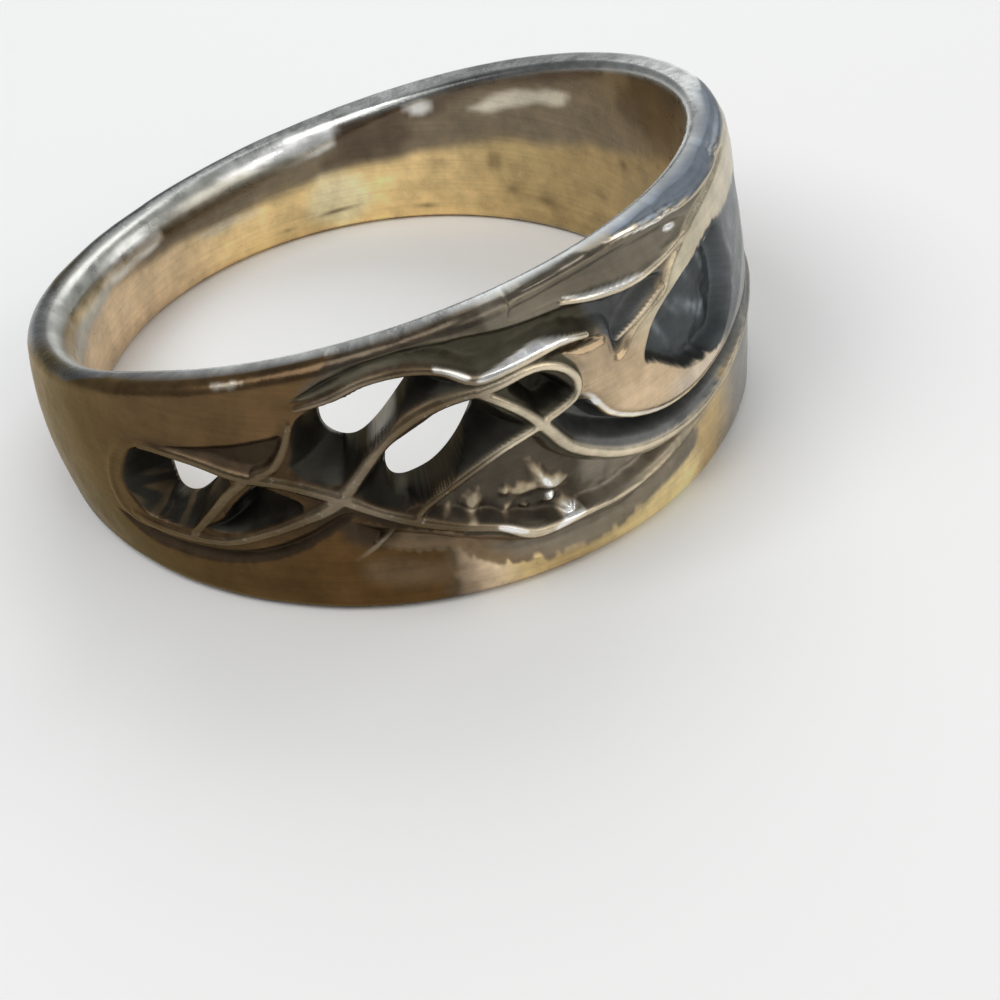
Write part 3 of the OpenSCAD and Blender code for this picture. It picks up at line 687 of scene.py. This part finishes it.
STRIP_WIDTH = [(-260, 1.3), (-150, 1.2), (-135, 0.5), (-120, 0.6), (-100, 0.6), (-90, 0.45),
               (-75, 0.6), (-68, 0.54), (-60, 0.5), (-45, 0.45), (-30, 0.3), (-13, 0.28), (0, 0.6),
               (12, 1), (60, 1.2), (100, 1.3)]
STRIP_COLOUR = (0.97, 0.99, 0.95)
# Where the round cell's dark wall is streaked
STREAKED = [(-139, 3.4), (-134, 3.1), (-128, 2.8), (-126.5, 2.5), (-134, 2.3), (-138.5, 2.6)]

# The blue-grey facet between the strip and the leaf's limb
FACET = [(-56, 9.3), (-54, 9.2), (-51, 9.08), (-46, 8.94), (-41, 8.82), (-37, 8.72), (-32, 8.64),
         (-26, 8.62), (-18, 8.64), (-8, 8.45), (5, 8.1), (5, 8.5), (-8, 9), (-22, 9.35),
         (-34, 9.45), (-45, 9.45), (-52, 9.4)]
# The upper shoulder's colours, under all others: outline, colour, how much and how soft the edge
SHOULDERS = [
    # These two rows darken the shoulder under the upper rim: partly its tarnish, partly painted
    # shade that dulls its reflection
    ([(-104, 7.2), (-102, 7.6), (-99, 8.1), (-94, 8.45), (-88, 8.8), (-80, 9.05), (-72, 9.2),
      (-72, 8.1), (-81, 8.2), (-88, 8.1), (-94, 7.9), (-99, 7.5), (-102, 7.1)], TAUPE, 1, 0.4),
    ([(-76, 8.1), (-76, 9.15), (-66, 9.3), (-56, 9.4), (-46, 9.45), (-36, 9.45), (-22, 9.35),
      (-22, 8.45), (-30, 8.3), (-38, 8.1), (-45, 7.9), (-52, 7.8), (-62, 8),
      (-70, 8.1)], OLIVE, 1, 0.2),
    (FACET, STEEL, 1, 0.08),
]
# Patches over the hollows, in the same way
PATCHES = [
    # A painted highlight on the rim's rounding
    ([(-117.5, 7.27), (-114.8, 7.4), (-112.8, 7.42), (-114, 7.24),
      (-116.6, 7.15)], PEWTER, 1, 0.16),
    ([(-80, 1.5), (-74, 1.45), (-66, 1.55), (-56, 1.65), (-48, 1.98), (-44, 2), (-50, 1.25),
      (-56, 0.85), (-64, 0.6), (-72, 0.75), (-77, 1.1)], KHAKI, 1, 0.5),
    ([(-64, 3.3), (-60, 3.1), (-50, 2.6), (-38, 2.5), (-46, 2), (-56, 1.8),
      (-64, 1.8)], PEWTER, 1, 0.7),
    # A painted shadow
    ([(-100.5, 3.4), (-96, 3.15), (-92.5, 2.9), (-94, 2.45), (-98, 2.35),
      (-101, 2.75)], UMBER, 1, 0.5),
    ([(-98, 1.9), (-92, 1.8), (-87, 1.4), (-88, 0.9), (-94, 0.9), (-99, 1.3)], BRONZE, 1, 0.6),
    ([(-67, 4.3), (-62, 3.56), (-56, 3.02), (-50, 2.78), (-43, 2.68), (-35, 2.78), (-41, 3.2),
      (-50, 3.3), (-57, 3.6), (-62, 4.1)], ASH, 1, 0.2),
    ([(-56, 1), (-50, 1.12), (-45, 1.28), (-42.6, 1.5), (-42.4, 2.05), (-46, 1.9),
      (-52, 1.5)], KHAKI, 1, 0.25),
    ([(-58.5, 6.4), (-60, 8), (-52, 7.72), (-46, 7.5), (-50, 7.02), (-55, 6.6)], SLATE, 1, 0.3),
]
# Painted highlights: bright glints on the outside
PAINTED_GLINTS = [
    [(-68.2, 2.2), (-67, 2.1), (-66, 1.92), (-67.3, 1.84), (-69, 1.78), (-71, 1.7), (-70.9, 1.8),
     (-69.6, 1.9), (-68.8, 2.02)],
    [(-71.6, 3.25), (-70.8, 3.2), (-70.2, 2.95), (-71, 2.98)],
    [(-79.3, 2.42), (-77.6, 2.3), (-75.6, 2.06), (-75.2, 1.96), (-76.6, 2.02), (-79, 2.28)],
    [(-35.6, 7.14), (-34.4, 7.28), (-32.2, 7.1), (-32.6, 6.84), (-34.6, 6.95)],
    [(-70.9, 2.56), (-69.9, 2.6), (-69.8, 2.5), (-70.6, 2.44)],
    [(-63.2, 5.22), (-61.8, 5.16), (-61.4, 4.98), (-62.6, 5)],
    [(-79.2, 7.06), (-76, 7.2), (-73, 7.33), (-70, 7.44), (-66.6, 7.42), (-63.6, 7.22),
     (-66.6, 7.3), (-70, 7.3), (-73, 7.18), (-78.4, 6.98)],
    [(-64.4, 8.3), (-61.5, 8.2), (-58.5, 8.12), (-55, 8.01), (-50.5, 7.9), (-55, 7.94),
     (-58.5, 8.03), (-61.5, 8.12)],
    [(-52.5, 9.06), (-48, 8.95), (-44.5, 8.88), (-39.5, 8.74), (-44.5, 8.83), (-48, 8.89)],
    [(-42.6, 8.3), (-41.2, 8.36), (-40, 8.28), (-41.4, 8.24)],
    [(-84.8, 7.6), (-82.4, 7.42), (-80.2, 7.16), (-81, 7.14), (-83.4, 7.42), (-85, 7.54)],
]
# Painted shade and highlights on the wall of the finger hole, in the same way, but with angles from
# 0 to 360
INNER_SHADE_AND_SHEEN = [
    ([(97, 4), (95, 3.1), (98, 2.6), (92, 2.45), (84, 2.6), (79, 3.2), (82, 4.1),
      (88, 4.3)], WALL_SHADE, 0.8, 0.7),
    ([(31, 7.2), (25, 7), (30, 5.9), (27, 5.4), (21.5, 5.3), (14, 5.6), (7, 6), (5, 8.1),
      (14, 7.9)], WALL_SHADE, 0.6, 0.5),
    ([(86, 4.3), (82, 4.6), (72, 5.05), (58, 5.75), (44, 6.45), (34, 6.9), (36, 6.3), (46, 5.75),
      (58, 5.2), (70, 4.6), (72, 4.1), (78, 3.8)], WALL_SHADE, 0.75, 0.4),
    ([(135, 3), (128, 2.7), (133, 2.5), (140, 2.2), (150, 2.3), (148, 2.15), (138, 2),
      (130, 2.2)], WALL_SHADE, 0.4, 0.4),
    ([(100, 2), (95, 2.1), (91, 1.8), (90, 0.9), (94, 0.3), (98, 0.3),
      (103, 0.9)], YELLOW_GLINT, 0.8, 0.7),
    ([(119.5, 3.15), (114, 3.4), (109, 3.55), (104, 3.72), (98.5, 3.9), (95, 3.98), (96, 3.3),
      (100, 3.1), (105, 3.15), (110, 3.1), (115, 3.05)], HIGHLIGHT_WHITE, 1, 0.3),
    ([(137, 2.65), (141, 2.85), (146, 2.95), (152, 2.95), (158, 2.78), (153, 2.48), (146, 2.38),
      (140, 2.35)], HIGHLIGHT_WHITE, 1, 0.3),
    ([(66, 4.3), (60, 4.85), (55.5, 5.1), (51, 5.22), (44.5, 5.42), (44, 5.05), (46.7, 4.85),
      (51.2, 4.8), (57.5, 4.46), (63, 4.15)], PALE_SHEEN, 0.8, 0.35),
    ([(79.6, 4.45), (77.5, 4.7), (75.4, 4.6), (74.8, 4.25), (76.6, 4.05),
      (79, 4.2)], HIGHLIGHT_WHITE, 0.7, 0.35),
    ([(128, 1.8), (122, 1.85), (114, 1.75), (115, 1.5), (120, 1.5),
      (127, 1.55)], PALE_SHEEN, 0.5, 0.3),
    ([(172, 3.3), (166, 2.95), (160, 2.75), (163, 2.6), (170, 2.95)], PALE_SHEEN, 0.7, 0.3),
]
# How high the painted gold reflection goes and where the painted grey one begins. Columns: angle
# from 0 to 360, height.
GOLD_TOP = [(0, 5.2), (14, 5), (22, 4.5), (30, 4), (38, 3.7), (45, 3.35), (60, 3.05), (72, 2.6),
            (95, 2.15), (107, 1.9), (120, 1.7), (138, 1.9), (150, 2.3), (165, 2.5), (200, 2.2),
            (320, 2.2), (345, 4.2), (360, 5.2)]
GREY_FROM = [(0, 12), (85, 12), (95, 3.2), (105, 2.9), (120, 2.8), (135, 2.6), (150, 2.4),
             (180, 2.4), (200, 3)]
# Dark spots there. Columns: angle, height, half length, half width, turn, how dark.
INNER_SPOTS = [
    (29, 3.65, 0.3, 0.22, 0, 0.8), (59, 1.3, 0.28, 0.18, 0, 0.7), (51, 1.1, 0.7, 0.24, 8, 0.7),
    (78, 0.52, 0.45, 0.14, 0, 0.7), (97, 0.78, 0.9, 0.1, -4, 0.85), (74, 2.2, 0.6, 0.3, 0, 0.35),
    (62.3, 2.35, 0.26, 0.55, 0, 0.95), (68.3, 2.35, 0.2, 0.35, 0, 0.5),
    (108, 0.55, 0.35, 0.1, 0, 0.5), (36, 2, 0.6, 0.2, 20, 0.35)]

# Washes over parts of the outside. Columns: colour, how much, and what limits it: a measure, its
# value where there is none of the colour, and its value where there is all of it. Rows named after
# a hollow lie over its tarnish.
WASHES = {
    "plain": [
        (BRONZE, 0.35, ("height", 4.5, 6.5), ("angle", -85, -105), ("angle", -165, -150)),
        (DULL_TAN, 1, ("height", 4.5, 5.5), ("angle", -90, -80), ("angle", -15, -25))],
    # Painted shade on the rounding under the upper rim
    "under_rim_shade": [(UMBER, 1, ("over_rim", -0.32, -0.08), ("angle", -118, -108), ("angle", 12, 0))],
    # The crescent: paler on the right, with a painted shadow right under the leaf's edge
    "crescent": [
        (MIST, 1, ("angle", -58, -42)), (BLACK, 1, ("leaf", 0.35, 0.1), ("angle", -57, -63))],
    # Painted light: the oval's right wall, which lies in shade, is lightened to blue-grey
    "oval": [(BLUE_GREY, 1, ("angle", -32, -28))],
    # Lumps paler toward their tops: partly rubbed silver, partly painted highlight
    "lumps": [
        (DULL_TAN, 1, ("lumps", 0.05, 0.11)), (PALE_TAN, 1, ("lumps", 0.1, 0.18)),
        (BRIGHT, 0.6, ("lumps", 0.18, 0.26), ("angle", -74, -72.5))],
    "leaf": [
        (LEAF_TAN, 1), (DULL_TAN, 0.3, ("angle", -56, -60)),
        (BRIGHT, 0.35, ("angle", -51, -45), ("height", 4.6, 3.9)),
        (LIMB, 1, ("height", 5.8, 6.9), ("angle", -59, -54)),
        # Painted shade that dulls the light caught by the leaf's upper edge
        (DULL_TAN, 0.55, ("leaf", -0.3, -0.05), ("height", 6.0, 6.4), ("angle", -36, -42))],
    # A painted highlight along the leaf's lower edge
    "leaf_edge": [
        (BRIGHT, 1, ("leaf_edge", 0.09, 0.03), ("height", 5.6, 5.3), ("angle", -66, -62),
         ("angle", -44, -52))],
}
# Soft edges of colour: distances from an outline with none of it, and with all of it
HOLLOW_TONE, LEAF_TONE, GLINT_TONE = (0.03, -0.12), (0.02, -0.08), (0.04, -0.04)
PLAIN_RAGGED, PATCH_RAGGED = 0.3, 0.5
# Tarnish beside a raised line, by the distance from it and by how far it stands out, and the line's
# own colour, by the share of its half width and in the same way
FLANK_WIDE, FLANK_STAND = (0.3, 0.1), (0.02, 0.08)
LINE_WIDE, LINE_STAND, LINE_LEAST = (1.0, 0.4), (0, 0.05), 0.04
LAST_ANGLE = 100  # tables over the angle run from -260 to this
STREAK_SLANT = 6  # degrees for each millimetre of height


def at_angle(stops, angle):
    """The number at each angle, running from stop to stop."""
    return np.interp(angle, *zip(*stops))


def gradient(stops, angle):
    """The colour at each angle, running from stop to stop."""
    at, colours = zip(*stops)
    return np.stack([np.interp(angle, at, channel) for channel in zip(*colours)], -1)


def paint(tone, colour, share):
    """Mixes a colour, or a colour for each place, into the tones by a share of each place."""
    return tone + (np.asarray(colour) - tone) * share[:, None]


def paint_patches(tone, patches, angle, height, uneven):
    """Patches of colour with soft edges, which the uneven distances make ragged."""
    for rows, colour, strength, soft in patches:
        share = smooth(soft / 2, -soft / 2, to_outline(angle, height, rows) + uneven)
        tone = paint(tone, colour, strength * share)
    return tone


def wash(tone, name, measures, share=1):
    """One row of the table of washes, over a share of each place."""
    for colour, strength, *limits in WASHES[name]:
        part = strength * share
        for measure, none, full in limits:
            part = part * smooth(none, full, measures[measure])
        tone = paint(tone, colour, part)
    return tone


def hollow_tones(tone, dark, measures, ragged):
    """The hollows' tarnish over the tones, with painted shadow in the crescent and the oval, how
    dark all is with it, and the oval's share.
    """
    angle, height = measures["angle"], measures["height"]
    for name, (rows, _, _, colour) in HOLLOWS.items():
        gap = to_outline(angle, height, rows) + RAGGED.get(name, PLAIN_RAGGED) * ragged
        if name == "oval":
            # On the right its tarnish goes past its edge
            gap = gap - 0.2 * smooth(-42, -34, angle)
        share = smooth(*HOLLOW_TONE, gap)
        dark = np.maximum(dark, share)
        tone = paint(tone, colour, share)
        if name in WASHES:
            tone = wash(tone, name, measures, share)
        if name == "oval":
            # Painted shadow: it is darkest along its edge on the left, and in a streak near its
            # right end
            edge = smooth(-0.4, -0.12, gap) * smooth(-34, -40, angle)
            streak = 0.5 * np.exp(-((angle + 32) / 1.4) ** 2)
            tone = paint(tone, LEAD_SHADOW, share * np.clip(edge + streak, 0, 1))
            oval = share
    return tone, dark, oval


def outside_tones(angle, lay, outside):
    """Colours of the carved outside, and how dark and how polished it is."""
    ragged = grain("ragged_edges", angle, lay)
    leaf_gap = to_outline(angle, lay, LEAF)
    measures = {"angle": angle, "height": lay, "over_rim": lay - rim(angle), "leaf": leaf_gap,
                "leaf_edge": np.abs(leaf_gap + 0.03),
                "lumps": spot_shares(LUMPS, angle, lay) + grain("lumps", angle, lay)}
    # Partly tarnish, partly painted reflection of warm surroundings, running round the band
    tone = gradient(OUTSIDE, angle + grain("colour_runs", angle, lay))
    tone = wash(tone, "plain", measures)
    tone = paint_patches(tone, SHOULDERS, angle, lay, PLAIN_RAGGED * ragged)
    # Painted shade: the rounding under the upper rim faces the sky, and is darkened to dull its
    # reflection
    tone = wash(tone, "under_rim_shade", measures, mix(0.65, 0.25, smooth(-86, -78, angle)))

    ridges = [near_path(angle, lay, path, FLANK_REACH) for path in PATHS]
    flanks = np.zeros(angle.shape)
    for distance, half, stand in ridges:
        flank = smooth(*FLANK_WIDE, distance - half) * smooth(*FLANK_STAND, stand)
        flanks = np.maximum(flanks, flank)
    flanks = flanks * mix(0.5, 1, smooth(-115, -100, angle)) * mix(1, 0.4, smooth(-60, -48, angle))
    tone = paint(tone, gradient(FLANKS, angle), flanks)
    tone, dark, oval = hollow_tones(tone, flanks, measures, ragged)
    tone = paint_patches(tone, PATCHES, angle, lay, PATCH_RAGGED * ragged)
    tone = wash(tone, "lumps", measures)

    on_leaf = smooth(*LEAF_TONE, leaf_gap)
    polish = on_leaf * (1 - oval)
    tone = wash(tone, "leaf", measures, polish)
    # Painted shade: right of the oval the leaf is darkened to blue-grey up to its limb, which dulls
    # its highlight
    blue = on_leaf * smooth(-36, -31, angle) * smooth(7.4, 7.2, lay + PLAIN_RAGGED * ragged)
    tone = paint(tone, LEAD, blue * (1 - oval**4))
    streaks = spot_shares(OVAL_STREAKS, angle, lay) * (0.75 + grain("oval_streaks", angle, lay))
    tone = paint(tone, PALE_BLUE, np.maximum(blue, oval) * np.clip(streaks, 0, 1))
    tone = wash(tone, "leaf_edge", measures)
    for distance, half, stand in ridges:
        aside = distance / np.maximum(half, LINE_LEAST)
        share = smooth(*LINE_WIDE, aside) * smooth(*LINE_STAND, stand)
        tone = paint(tone, gradient(RAISED, angle), share)
        polish = np.maximum(polish, share)
    # Painted highlights in white, as smooth as polish
    for rows in PAINTED_GLINTS:
        share = smooth(*GLINT_TONE, to_outline(angle, lay, rows))
        tone = paint(tone, HIGHLIGHT_WHITE, share)
        polish = np.maximum(polish, share)
    return tone, dark * (1 - polish) * outside, polish * outside


def inside_tones(angle, height):
    """Painted reflections on the finger hole's wall: golden below, then brown, and grey near the
    upper rim, with painted highlights and shade, and dark spots.
    """
    turn = angle % 360
    # All runs together again where 360 degrees meet 0, and changes are soft on the wall's front
    joined = smooth(360, 330, turn)
    soft = 1 + 5 * smooth(195, 215, turn) * joined
    bright = mix(0.46, 1, smooth(42, 90, turn) * joined)
    bright = bright * mix(1, 0.32, smooth(115, 155, turn) * joined)
    tone = bright[:, None] * np.array(GOLD_REFLECTION)
    tone = paint(tone, ROSE_REFLECTION, 0.8 * smooth(112, 140, turn) * joined)
    uneven_height = height + grain("inner_levels", angle, height)
    above_gold = uneven_height - at_angle(GOLD_TOP, turn)
    tone = paint(tone, BROWN_REFLECTION, smooth(-0.25 * soft, 0.35 * soft, above_gold))
    above_brown = uneven_height - at_angle(GREY_FROM, turn)
    tone = paint(tone, GREY_REFLECTION, joined * smooth(-0.2 * soft, 0.3 * soft, above_brown))
    tone = paint_patches(tone, INNER_SHADE_AND_SHEEN, turn, height, grain("inner_patches", angle, height))
    return paint(tone, INNER_SPOT, spot_shares(INNER_SPOTS, turn, height))


def marks(mesh):
    """The colour of each vertex, and how dark and how polished it is."""
    spots = np.empty(len(mesh.vertices) * 3)
    mesh.vertices.foreach_get("co", spots)
    x, y, z = spots.reshape(-1, 3).T
    angle = np.degrees(np.arctan2(y, x))
    angle = np.where(angle > LAST_ANGLE, angle - 360, angle)
    depth = np.hypot(x, y) - BORE_R
    wall = skin(angle, z) - BORE_R
    below_rim = rim(angle) - z
    # The height along the skin, which goes on over the rounding of the upper rim
    on_round = RIM_ROUND - below_rim
    over = RIM_ROUND * np.arcsin(np.clip(on_round / RIM_ROUND, 0, 1))
    lay = np.where(on_round > 0, z - on_round + over, z)
    # The finger hole's wall begins where the inner rounding ends, a little sooner if that is wide
    rounded = inner_round(angle)[0]
    hole_edge = INNER_ROUND + 0.7 * (rounded - INNER_ROUND) * smooth(1.4, 0.6, below_rim)
    inside = smooth(hole_edge + 0.12, hole_edge - 0.12, depth)

    tone, dark, polish = outside_tones(angle, lay, 1 - inside)
    cell = np.min([to_outline(angle, z, outline) for outline, _ in CELLS.values()], 0)
    sunk = smooth(-0.02, 0.1, wall - depth) * smooth(-0.02, 0.06, -cell) * smooth(0.02, 0.1, depth)
    streaks = smooth(0, 0.6, grain("cell_streaks", angle + STREAK_SLANT * z, z))
    tone = paint(tone, BLACK, sunk)
    tone = paint(tone, SEPIA, sunk * streaks * smooth(0.2, -0.2, to_outline(angle, z, STREAKED)))
    tone = paint(tone, inside_tones(angle, z), inside * (1 - sunk))

    width = at_angle(STRIP_WIDTH, angle)
    wide_round = smooth(0.45, 0.7, rounded)
    strip = smooth(0.3, 0.1, below_rim) * smooth(width + 0.05, width - 0.05, depth)
    strip = strip * (1 - wide_round * inside)
    lip = strip * smooth(0.24, 0.14, depth) * (1 - wide_round)
    # Painted highlight and shade on the strip and its lip
    for stops, share in ((STRIP, strip), (LIP, lip)):
        tone = paint(tone, at_angle(stops, angle)[:, None] * np.array(STRIP_COLOUR), share)
    # Painted shade: the facet's upper edge is a little darker, which dulls its highlight, and as
    # dull as a hollow
    edge = smooth(0.05, -0.05, to_outline(angle, lay, FACET)) * smooth(-0.15, 0.1, lay - rim(angle))
    edge = edge * (1 - strip)
    tone = paint(tone, LEAD, 0.15 * edge * (1 - inside))
    return tone, np.stack([np.max([dark, sunk, edge], 0), np.maximum(polish, strip)], -1)


def write(mesh, name, values):
    """Stores values at each vertex as a colour, for the material to read."""
    colours = np.ones((len(values), 4))
    colours[:, :values.shape[1]] = values
    layer = mesh.attributes.new(name, "FLOAT_COLOR", "POINT")
    layer.data.foreach_set("color", colours.reshape(-1))


def node_tree(owner):
    """The empty node tree of a material or a world."""
    owner.use_nodes = True
    owner.node_tree.nodes.clear()
    return owner.node_tree


def feed(tree, socket, value):
    """Links an output to a socket, or sets the socket to a number, a vector or a colour."""
    if isinstance(value, bpy.types.NodeSocket):
        tree.links.new(value, socket)
    else:
        socket.default_value = (*value, 1) if socket.type == "RGBA" else value


def add(tree, kind, *values, **settings):
    """A node with its settings, which may be sockets' names, and its first sockets' values."""
    node = tree.nodes.new("ShaderNode" + kind)
    for name, value in settings.items():
        if hasattr(node, name):
            setattr(node, name, value)
        else:
            feed(tree, node.inputs[name.replace("_", " ")], value)
    for socket, value in zip(node.inputs, values):
        feed(tree, socket, value)
    return node


def mix_colour(tree, first, second, share):
    """A mix of two colours, which are sockets or colours."""
    node = add(tree, "Mix", share, data_type="RGBA")
    feed(tree, node.inputs[6], first)
    feed(tree, node.inputs[7], second)
    return node.outputs[2]


def times_plus(tree, value, factor, plus=0):
    return add(tree, "Math", value, factor, plus, operation="MULTIPLY_ADD").outputs[0]


def noise(tree, place, scale, detail):
    return add(tree, "TexNoise", Vector=place, Scale=scale, Detail=detail, Roughness=0.6).outputs[0]


def ranged(tree, value, low, high, to_low, to_high):
    return add(tree, "MapRange", value, low, high, to_low, to_high, clamp=True).outputs[0]


# Noise in the silver: lumps for each metre and levels of detail. That of the fine lines is squashed
# in height, so that they run round the band.
CLOUDS, STAINS, SPECKLE = (500, 4), (1500, 3), (5000, 3)
LINE_SCALE, LINE_DETAIL = (250, 250, 9000), 2
NOISE_RANGE = (0.3, 0.7)
# How far they change the colour's brightness, and the pale flecks on polished places, which are
# tiny painted glints
CLOUD_CHANGE, STAIN_CHANGE, LINE_CHANGE = 0.22, 0.15, 0.07
FLECK_RANGE, FLECK_SHARE = (0.62, 0.75), 0.3
# Roughness of plain silver, and how much tarnish adds to it and polish takes off
ROUGHNESS, DARK_ROUGHER, POLISH_SMOOTHER = (0.25, 0.38), 0.25, 0.05
# Tones with less blue than this are brown tarnish, which keeps its colour at a flat angle
TARNISH_BLUE = (0.05, 0.09)
BUMP_STRENGTH, BUMP_HEIGHT, SPECKLE_BUMP, LINE_BUMP = 0.35, 0.00003, 0.5, 0.25


def silver_material():
    """Worn cast silver: each place's own tarnish and painted light, with stains, specks, tiny
    painted glints, fine lines and pits.
    """
    material = bpy.data.materials.new("worn_silver")
    tree = node_tree(material)
    place = add(tree, "TexCoord").outputs["Object"]
    tone = add(tree, "Attribute", attribute_name="tone").outputs["Color"]
    wear = add(tree, "Attribute", attribute_name="wear").outputs["Color"]
    dark, polish, _ = add(tree, "SeparateColor", wear).outputs
    clouds, stains, speckle = (noise(tree, place, *kind) for kind in (CLOUDS, STAINS, SPECKLE))
    squashed = add(tree, "VectorMath", place, LINE_SCALE, operation="MULTIPLY").outputs[0]
    lines = noise(tree, squashed, 1, LINE_DETAIL)

    colour = tone
    for pattern, change in ((clouds, CLOUD_CHANGE), (stains, STAIN_CHANGE), (lines, LINE_CHANGE)):
        factor = ranged(tree, pattern, *NOISE_RANGE, 1 - change, 1 + change)
        colour = add(tree, "VectorMath", colour, operation="SCALE", Scale=factor).outputs[0]
    flecks = times_plus(tree, ranged(tree, speckle, *FLECK_RANGE, 0, FLECK_SHARE), polish)
    colour = mix_colour(tree, colour, SILVER, flecks)
    blue = add(tree, "SeparateColor", tone).outputs[2]
    bare = ranged(tree, blue, *TARNISH_BLUE, 0, 1)
    rough = ranged(tree, stains, *NOISE_RANGE, *ROUGHNESS)
    rough = times_plus(tree, dark, DARK_ROUGHER, rough)
    rough = times_plus(tree, polish, -POLISH_SMOOTHER, rough)
    height = times_plus(tree, speckle, SPECKLE_BUMP, stains)
    height = times_plus(tree, lines, LINE_BUMP, height)
    bump = add(tree, "Bump", Strength=BUMP_STRENGTH, Distance=BUMP_HEIGHT, Height=height)
    tint = mix_colour(tree, FLAT_TARNISH, (1, 1, 1), bare)
    shader = add(tree, "BsdfPrincipled", Metallic=1, Base_Color=colour, Roughness=rough,
                 Specular_Tint=tint, Normal=bump.outputs[0])
    add(tree, "OutputMaterial", Surface=shader.outputs[0])
    return material


def put(name, data):
    """A new object in the scene."""
    thing = bpy.data.objects.new(name, data)
    bpy.context.collection.objects.link(thing)
    return thing


def aim(thing, place, target, roll=0):
    """Puts a camera or a lamp at a place and turns it towards a target."""
    place = Vector(place)
    turn = (Vector(target) - place).to_track_quat("-Z", "Y").to_matrix().to_4x4()
    thing.matrix_world = Matrix.Translation(place) @ turn @ Matrix.Rotation(roll, 4, "Z")


def make_ring():
    """The ring, thinned out in millimetres, because very small edges thin out badly."""
    piece = put("cast_ring", band_mesh())
    tone, wear = marks(piece.data)
    thin_out(piece, np.maximum(colour_steps(piece.data, tone), POLISH_CARE * wear[:, 1]))
    for name, values in zip(("tone", "wear"), marks(piece.data)):
        write(piece.data, name, values)
    piece.data.transform(Matrix.Scale(MM, 4))
    piece.data.materials.append(silver_material())
    piece.data.shade_smooth()
    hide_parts("band_ring")
    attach(piece, "root")


# The floor and the lights, in metres. Columns: name, place, size, power and colour.
FLOOR_HALF, FLOOR_COLOUR, FLOOR_ROUGHNESS = 0.6, (0.86, 0.86, 0.85), 0.7
NEUTRAL, WARM, COOL = (1, 1, 1), (1, 0.93, 0.82), (0.95, 0.97, 1)
LIGHTS = [
    ("key", (-0.12, -0.05, 0.22), 0.16, 0.3, NEUTRAL),
    ("fill", (0.2, -0.16, 0.14), 0.2, 0.15, WARM),
    ("back", (0.05, 0.22, 0.18), 0.2, 0.3, COOL),
    ("front_top", (0.06, -0.15, 0.2), 0.08, 0.04, NEUTRAL),
    ("side", (0.21, 0.07, 0.115), 0.1, 0.05, NEUTRAL),
]
LIGHT_AIM = (0, 0, 0.004)
SKY_STRENGTH = 0.34

# The camera, from the photo's view of the outline and the finger hole, in millimetres
CAMERA_AT = (0, -55.21, 39.37)
CAMERA_AIM = (2.33, -6.62, 0)
CAMERA_ROLL = -7.4
LENS, SENSOR = 78.85, 36
NEAREST, FARTHEST = 0.005, 5  # metres that the camera sees


def make_floor():
    """A wide, flat, pale floor, on which the ring lies."""
    mesh = bpy.data.meshes.new("floor")
    corners = [(x * FLOOR_HALF, y * FLOOR_HALF, 0) for x, y in ((-1, -1), (1, -1), (1, 1), (-1, 1))]
    mesh.from_pydata(corners, [], [(0, 1, 2, 3)])
    floor = put("floor", mesh)
    material = bpy.data.materials.new("pale_floor")
    tree = node_tree(material)
    shader = add(tree, "BsdfPrincipled", Base_Color=FLOOR_COLOUR, Roughness=FLOOR_ROUGHNESS)
    add(tree, "OutputMaterial", Surface=shader.outputs[0])
    mesh.materials.append(material)


def make_light(name, place, size, power, colour):
    lamp = bpy.data.lights.new(name, "AREA")
    lamp.energy, lamp.color, lamp.size = power, colour, size
    aim(put(name, lamp), place, LIGHT_AIM)


def make_world():
    world = bpy.data.worlds.new("studio")
    bpy.context.scene.world = world
    tree = node_tree(world)
    sky = add(tree, "Background", Color=COOL, Strength=SKY_STRENGTH)
    add(tree, "OutputWorld", Surface=sky.outputs[0])


def make_camera():
    data = bpy.data.cameras.new("camera")
    data.lens, data.sensor_width = LENS, SENSOR
    data.clip_start, data.clip_end = NEAREST, FARTHEST
    camera = put("camera", data)
    aim(camera, Vector(CAMERA_AT) * MM, Vector(CAMERA_AIM) * MM, math.radians(CAMERA_ROLL))
    bpy.context.scene.camera = camera


make_camera()
make_ring()
make_floor()
make_world()
for light in LIGHTS:
    make_light(*light)
bpy.context.scene.view_settings.view_transform = "Standard"
